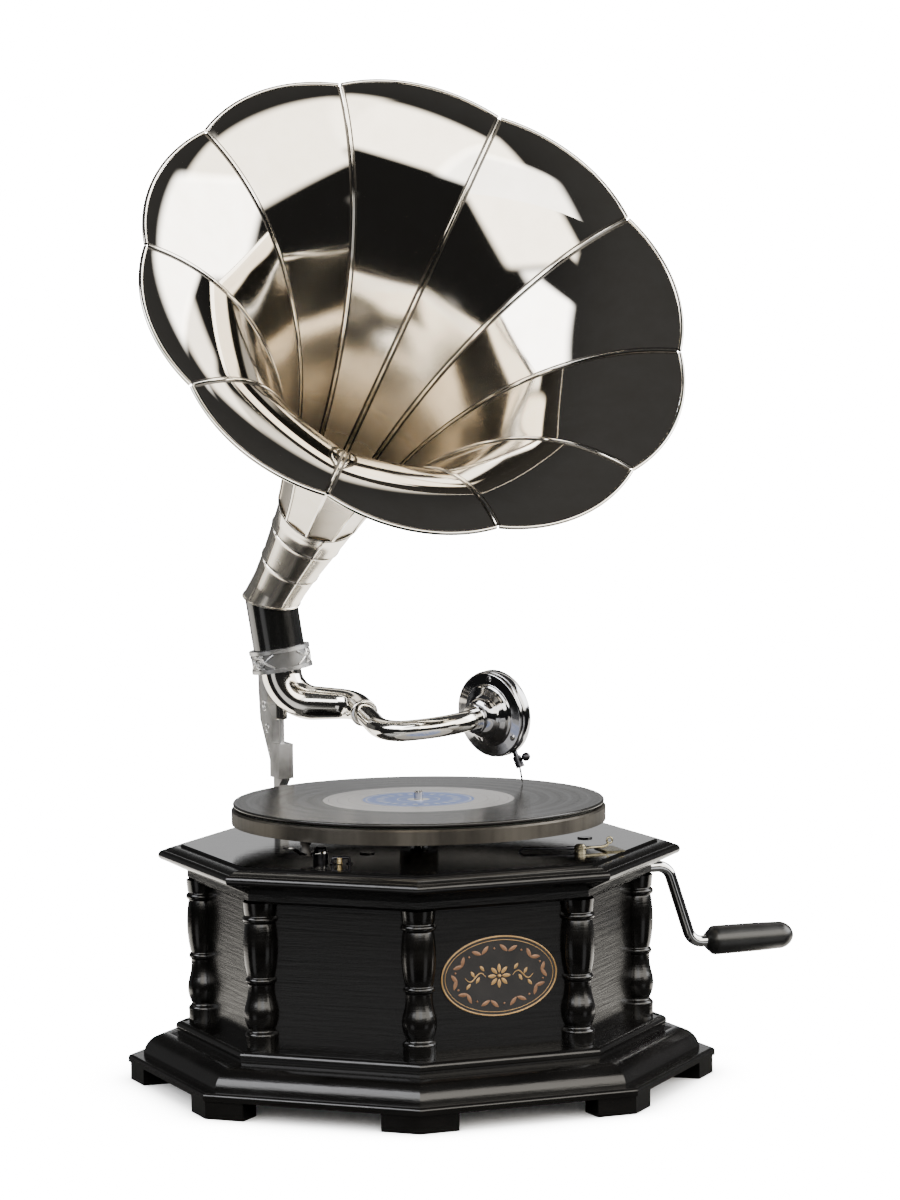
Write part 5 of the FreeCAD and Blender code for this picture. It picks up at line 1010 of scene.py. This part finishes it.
def speed_arm():
    """Regulator arm with a ring end, and the dark rod at its other side."""
    foot = Vector((SPEED_AT.x, SPEED_AT.y, BOARD_TOP))
    shape = Shape(place(foot * MM, Z, heading(SPEED_HEADING)))
    shape.lathe(eased([(2.1, 1.6), (4.3, 1.6), (4.3, 3.2), (2.1, 3.2), (2.1, 1.6)], 0.25), 48)
    blade(shape, [(3.2, 2.6, ARM_RISE, 0.8), (8.0, 1.7, ARM_RISE, 0.8), (14.5, 1.5, ARM_RISE, 0.8),
                  (17.5, 1.4, 2.9, 0.8), (19.4, 1.3, 4.0, 0.8), (20.2, 1.1, 5.0, 0.7)])
    eye = [Vector((EYE_REACH + EYE_RADIUS * math.cos(a), 0.0, EYE_RISE + EYE_RADIUS * math.sin(a)))
           for a in round_turn(36)]
    shape.rod(eye, 0.65, 14, closed=True)
    shape.finish("regulator_arm", "speed", OLD_BRASS, "brass", "speed_lever")
    rod = Shape(place(foot * MM, Z, heading(SPEED_HEADING + ROD_TURN)))
    line = [Vector((x, 0, z)) for x, z in ((3.4, ARM_RISE), (38.0, ARM_RISE), (40.5, 0.15))]
    rod.rod(bent_path(line, [1.5], 8), 0.85, 16)
    rod.rod([Vector((x, 0, ARM_RISE)) for x in (3.6, 9.0)], 1.35, 18)
    rod.finish("regulator_rod", "speed", BLACK_STEEL, "steel")


# Oval plate: two lines round the edge, a garland, a rosette and two sprigs
PLATE_SIDE, PLATE_LEVEL, PLATE_THICK, PLATE_LONG, PLATE_TALL = -67.5, 89.0, 0.6, 41.0, 26.5
PLATE_AT = heading(PLATE_SIDE) * PANEL_FACE + Z * PLATE_LEVEL
PLATE = place(PLATE_AT * MM, heading(PLATE_SIDE), heading(PLATE_SIDE + 90))
GARLAND_LONG, GARLAND_TALL, GARLAND_COUNT, GARLAND_SPREAD = 31.5, 18.2, 30, 38
SPRIG_START, SPRIG_LONG, SPRIG_WAVE, SPRIG_STEPS, SPRIG_THICK = 9.5, 14.5, 2.6, 24, 0.5
SPRIG_LEAVES = ((12.0, 5.6, 50), (15.0, -1.9, -60), (18.6, 2.2, 60), (21.6, -5.6, -50))
ROSETTE_REACH, ROSETTE_LEAVES = 5.0, 8
LEAF_RISE, PRINT_SINK = 0.3, 0.05


def leaf(shape, x, y, turn, long, wide):
    """A small raised leaf, pointed at both ends."""
    ahead, side = heading(turn), heading(turn + 90)
    rows = []
    for i in range(9):
        share = -1 + 2 * i / 8
        full = 1 - share * share
        spot = Vector((x, y, PLATE_THICK)) + ahead * long * share
        rows.append([spot + side * (wide * full) * c
                     + Z * (LEAF_RISE * math.sqrt(1 - c * c) * full - PRINT_SINK)
                     for c in (-1, -0.7, -0.35, 0, 0.35, 0.7, 1)])
    shape.grid(rows)


def sprig(shape, side):
    """A waved stem to one side of the rosette, thinner toward its ends, with four leaves."""
    line = [Vector((side * (SPRIG_START + SPRIG_LONG * i / SPRIG_STEPS),
                    SPRIG_WAVE * math.sin(2 * math.pi * i / SPRIG_STEPS), PLATE_THICK - PRINT_SINK))
            for i in range(SPRIG_STEPS + 1)]
    count = len(line)
    radii = [SPRIG_THICK * (0.35 + 0.65 * math.sin(math.pi * (i + 0.5) / count)) for i in range(count)]
    shape.tube(line, radii, 10)
    for x, y, turn in SPRIG_LEAVES:
        leaf(shape, side * x, y, turn if side > 0 else 180 - turn, 2.5, 1.1)


def oval_plate():
    lines = Shape(PLATE)
    for inset, thick in ((0.75, 0.55), (3.0, 0.22)):
        oval = [Vector(((PLATE_LONG - inset) * math.cos(a), (PLATE_TALL - inset) * math.sin(a), PLATE_THICK))
                for a in round_turn(160)]
        lines.rod(oval, thick, 8, closed=True)
    lines.finish("plate_lines", "cabinet", GOLD, "oval_print")
    garland = Shape(PLATE)
    for i, a in enumerate(round_turn(GARLAND_COUNT)):
        x, y = GARLAND_LONG * math.cos(a), GARLAND_TALL * math.sin(a)
        onward = math.degrees(math.atan2(GARLAND_TALL * math.cos(a), -GARLAND_LONG * math.sin(a)))
        if i % 3 == 2:
            garland.ball(Vector((x, y, PLATE_THICK)), 0.75, 12, 8)
        else:
            leaf(garland, x, y, onward + (GARLAND_SPREAD if i % 3 == 0 else -GARLAND_SPREAD), 3.9, 1.4)
    garland.finish("plate_garland", "cabinet", OLD_GOLD, "oval_print", weld=False)
    middle = Shape(PLATE)
    for a in round_turn(ROSETTE_LEAVES):
        leaf(middle, ROSETTE_REACH * math.cos(a), ROSETTE_REACH * math.sin(a), math.degrees(a), 3.2, 1.35)
    middle.ball(Vector((0, 0, PLATE_THICK)), 1.3, 16, 10)
    for side in (-1, 1):
        sprig(middle, side)
    middle.finish("plate_rosette", "cabinet", GOLD, "oval_print", weld=False)


# Relief of the bracket casting: bosses round its ring with chevrons and bars beside them, and spirals on
# its web. Lines beside a boss are (angle from it, height) points and a thickness.
RING_FACE, RING_HALF = 20.55, 6.5
BRACKET_WAY, WEB_FACE = 112.5, 3.25
BOSS_TURNS, BOSS_LINES = (-45, 72, -160), ((3.8, 0.9), (1.7, 0.6))
SIDE_LINES = (
    (((34, 4.6), (13, 0.0), (34, -4.6)), 0.8),
    (((12, 4.4), (4, 4.6)), 0.7),
    (((12, -4.4), (4, -4.6)), 0.7),
)
SPIRALS = ((26.5, 236.0, 4.6, 200), (21.0, 219.0, 4.0, 20), (15.5, 204.0, 3.6, 200))
SPIRAL_SWEEP, SPIRAL_STEPS, SPIRAL_SHRINK, SPIRAL_THICK = 420, 40, 0.75, 0.55


def on_ring(angle, height):
    """Point of the ring's face at an angle from its front, in degrees, and a height."""
    near, right = across(HORN_AXIS)
    turn = math.radians(angle)
    return RING_AT + (near * math.cos(turn) + right * math.sin(turn)) * RING_FACE + HORN_AXIS * height


def ring_line(shape, points, thick):
    """A raised line on the ring through (angle from the front, height) points."""
    line = []
    for (a, low), (b, high) in zip(points, points[1:]):
        steps = max(2, int(abs(b - a) / 4) + int(abs(high - low) / 0.8))
        line += [on_ring(a + (b - a) * i / steps, low + (high - low) * i / steps) for i in range(steps)]
    line.append(on_ring(*points[-1]))
    shape.rod(line, thick, 10)


def ring_relief():
    shape = Shape()
    per_mm = math.degrees(1 / RING_FACE)
    turns = [2 * math.pi * i / 28 for i in range(29)]
    for centre in BOSS_TURNS:
        for radius, thick in BOSS_LINES:
            ring_line(shape, [(centre + radius * per_mm * math.cos(a), radius * math.sin(a)) for a in turns],
                      thick)
        for side in (-1, 1):
            for points, thick in SIDE_LINES:
                ring_line(shape, [(centre + side * turn, height) for turn, height in points], thick)
    shape.finish("ring_relief", "cabinet", CASTING, "cast_bracket", weld=False)
    # Darker ground over the ring's face between the raised lines: painted shade, so that the relief stands
    # out
    ground = Shape(place(RING_AT * MM, HORN_AXIS, X))
    face, under, edge = RING_FACE + 0.06, RING_FACE - 0.44, RING_HALF + 0.1
    ground.lathe([(under, -edge), (face, -RING_HALF), (face, RING_HALF), (under, edge), (under, -edge)], 120)
    ground.finish("ring_ground", "cabinet", RING_SHADE, "cast_bracket")


def web_relief():
    web = Shape(place(ARM_FOOT * MM, Z, heading(BRACKET_WAY)))
    for x, level, radius, first in SPIRALS:
        for face in (-WEB_FACE, WEB_FACE):
            line = []
            for i in range(SPIRAL_STEPS + 1):
                a = math.radians(first + SPIRAL_SWEEP * i / SPIRAL_STEPS)
                reach = radius * (1 - SPIRAL_SHRINK * i / SPIRAL_STEPS)
                line.append(Vector((x + reach * math.cos(a), face, level + reach * math.sin(a))))
            web.rod(line, SPIRAL_THICK, 10)
    web.finish("web_relief", "cabinet", CASTING, "cast_bracket", weld=False)


# Light and floor
BACKDROP, FLOOR_GLOW, FLOOR_SIDES = 18.0, 16.0, 96
SHADE_REACH, SHADE_POWER = 0.07, 2.2
LAMP_AT, LAMP_AIM, LAMP_SIZE, LAMP_POWER = Vector((0.2, 0.3, 2.8)), Vector((0, 0, 0.2)), 0.5, 25


def floor_paper(name, tone, glow):
    """Matt paper; where it glows, the glow is dimmed close to the object as a painted contact shadow."""
    made = Material(name)
    fibre = made.noise(made.place(), 3, 3.0)
    made.set(Base_Color=made.mix(fibre, (tone,) * 3, (tone * 0.96,) * 3),
             Roughness=made.span(fibre, 0.8, 0.9), Emission_Color=(1, 1, 1), Specular_IOR_Level=0.0)
    if glow:
        # Painted contact shadow: the glow fades where the object is near
        open_sky = made.add("AmbientOcclusion", samples=12, Distance=SHADE_REACH).outputs["AO"]
        made.set(Emission_Strength=made.math("MULTIPLY", made.math("POWER", open_sky, SHADE_POWER), glow))
    return made.material


def make_floor():
    """A white floor for the picture, and a small grey table top that the object reflects."""
    for name, size, level, tone, glow, seen in (("floor", 40.0, 0.0, 0.9, FLOOR_GLOW, True),
                                                ("table", 0.30, -0.0005, 0.20, 0.0, False)):
        verts = [(size * math.cos(a), size * math.sin(a), level) for a in round_turn(FLOOR_SIDES)]
        floor = link(name, verts, [tuple(range(FLOOR_SIDES))])
        floor.data.materials.append(floor_paper(name + "_paper", tone, glow))
        floor.visible_camera = seen
        floor.visible_glossy = not seen
        floor.visible_diffuse = not seen
        floor.visible_transmission = not seen


def make_lamp():
    """A soft box above the object, which isn't seen in its reflections."""
    data = bpy.data.lights.new("top_box", "AREA")
    data.shape = "SQUARE"
    data.size = LAMP_SIZE
    data.energy = LAMP_POWER
    lamp = bpy.data.objects.new("top_box", data)
    bpy.context.scene.collection.objects.link(lamp)
    lamp.visible_glossy = False
    lamp.location = LAMP_AT
    lamp.rotation_mode = "QUATERNION"
    lamp.rotation_quaternion = (LAMP_AIM - LAMP_AT).to_track_quat("-Z", "Y")


# Bright panels of the studio: azimuth range, elevation range, strength and colour. Azimuth 0 is behind the
# object, 90 at its right and 180 at the camera.
COOL, PLAIN, WARM = (0.96, 0.97, 1.0), (1.0, 1.0, 1.0), (1.0, 0.95, 0.86)
PANELS = (
    ((44, 62), (36, 47), 5.0, WARM),
    ((61, 98), (10, 49), 10.0, PLAIN),
    ((97, 130), (6, 45), 6.0, WARM),
    ((130, 161), (14, 44), 7.0, WARM),
    ((160, 190), (13, 52), 7.0, PLAIN),
    ((-190, -153), (13, 46), 7.0, WARM),
    ((-131, -93), (24, 49), 12.0, COOL),
    ((-151, -130), (17, 33), 7.0, PLAIN),
    ((-52, 44), (40, 47), 2.2, WARM),
    ((-85, 75), (-64, -10.8), 3.5, WARM),
    ((-75, 75), (-10, 17), 0.11, PLAIN),
    ((-9, 9), (5, 12), 0.72, PLAIN),
    ((121, 143), (-40, -9.3), 1.0, PLAIN),
    ((-143, -121), (-40, -9.3), 1.0, PLAIN),
)
ROOM_DIM, CEILING, CEILING_RISE, PANEL_SOFT = 0.018, 0.055, (20, 75), 2.2


class Room(Nodes):
    """Node tree of the studio room, worked out from the direction that is looked in."""

    def __init__(self):
        world = bpy.data.worlds.new("studio")
        bpy.context.scene.world = world
        world.use_nodes = True
        super().__init__(world.node_tree)
        self.tree.nodes.clear()

    def edge(self, angle, low, high):
        """Rises from 0 to 1 while the angle goes from low to high, in degrees."""
        return self.span(angle, 0.0, 1.0, interpolation_type="SMOOTHSTEP", From_Min=math.radians(low),
                         From_Max=math.radians(high))

    def within(self, angle, low, high):
        """1 between low and high, with soft edges."""
        above, below = (self.edge(angle, limit - PANEL_SOFT, limit + PANEL_SOFT) for limit in (low, high))
        return self.math("SUBTRACT", above, below)


def make_world():
    """A dim room with bright panels round the object, and a white backdrop for the picture."""
    room = Room()
    split = room.add("SeparateXYZ", Vector=room.add("TexCoord").outputs["Generated"])
    turn = room.math("ARCTAN2", split.outputs["X"], split.outputs["Y"])
    rise = room.math("ARCSINE", split.outputs["Z"])
    gloom = room.math("ADD", room.math("MULTIPLY", room.edge(rise, *CEILING_RISE), CEILING), ROOM_DIM)
    total = room.vector("SCALE", COOL, gloom)
    for turns, rises, strength, colour in PANELS:
        patch = room.math("MULTIPLY", room.within(turn, *turns), room.within(rise, *rises))
        glow = room.math("MULTIPLY", patch, strength)
        total = room.vector("ADD", total, room.vector("SCALE", colour, glow))
    choose = room.add("MixShader", Fac=room.add("LightPath").outputs["Is Camera Ray"])
    for socket, colour, strength in ((choose.inputs[1], total, 1.0), (choose.inputs[2], PLAIN, BACKDROP)):
        room.feed(socket, room.add("Background", Color=colour, Strength=strength).outputs["Background"])
    room.add("OutputWorld", Surface=choose.outputs["Shader"])


dress_nodes()
horn_petals()
horn_seams()
seam_shade_strips()
horn_rim()
horn_neck()
horn_elbow()
arm_tube()
gooseneck()
soundbox()
crank()
columns()
brake()
speed_arm()
oval_plate()
ring_relief()
web_relief()
make_camera()
make_floor()
make_world()
make_lamp()
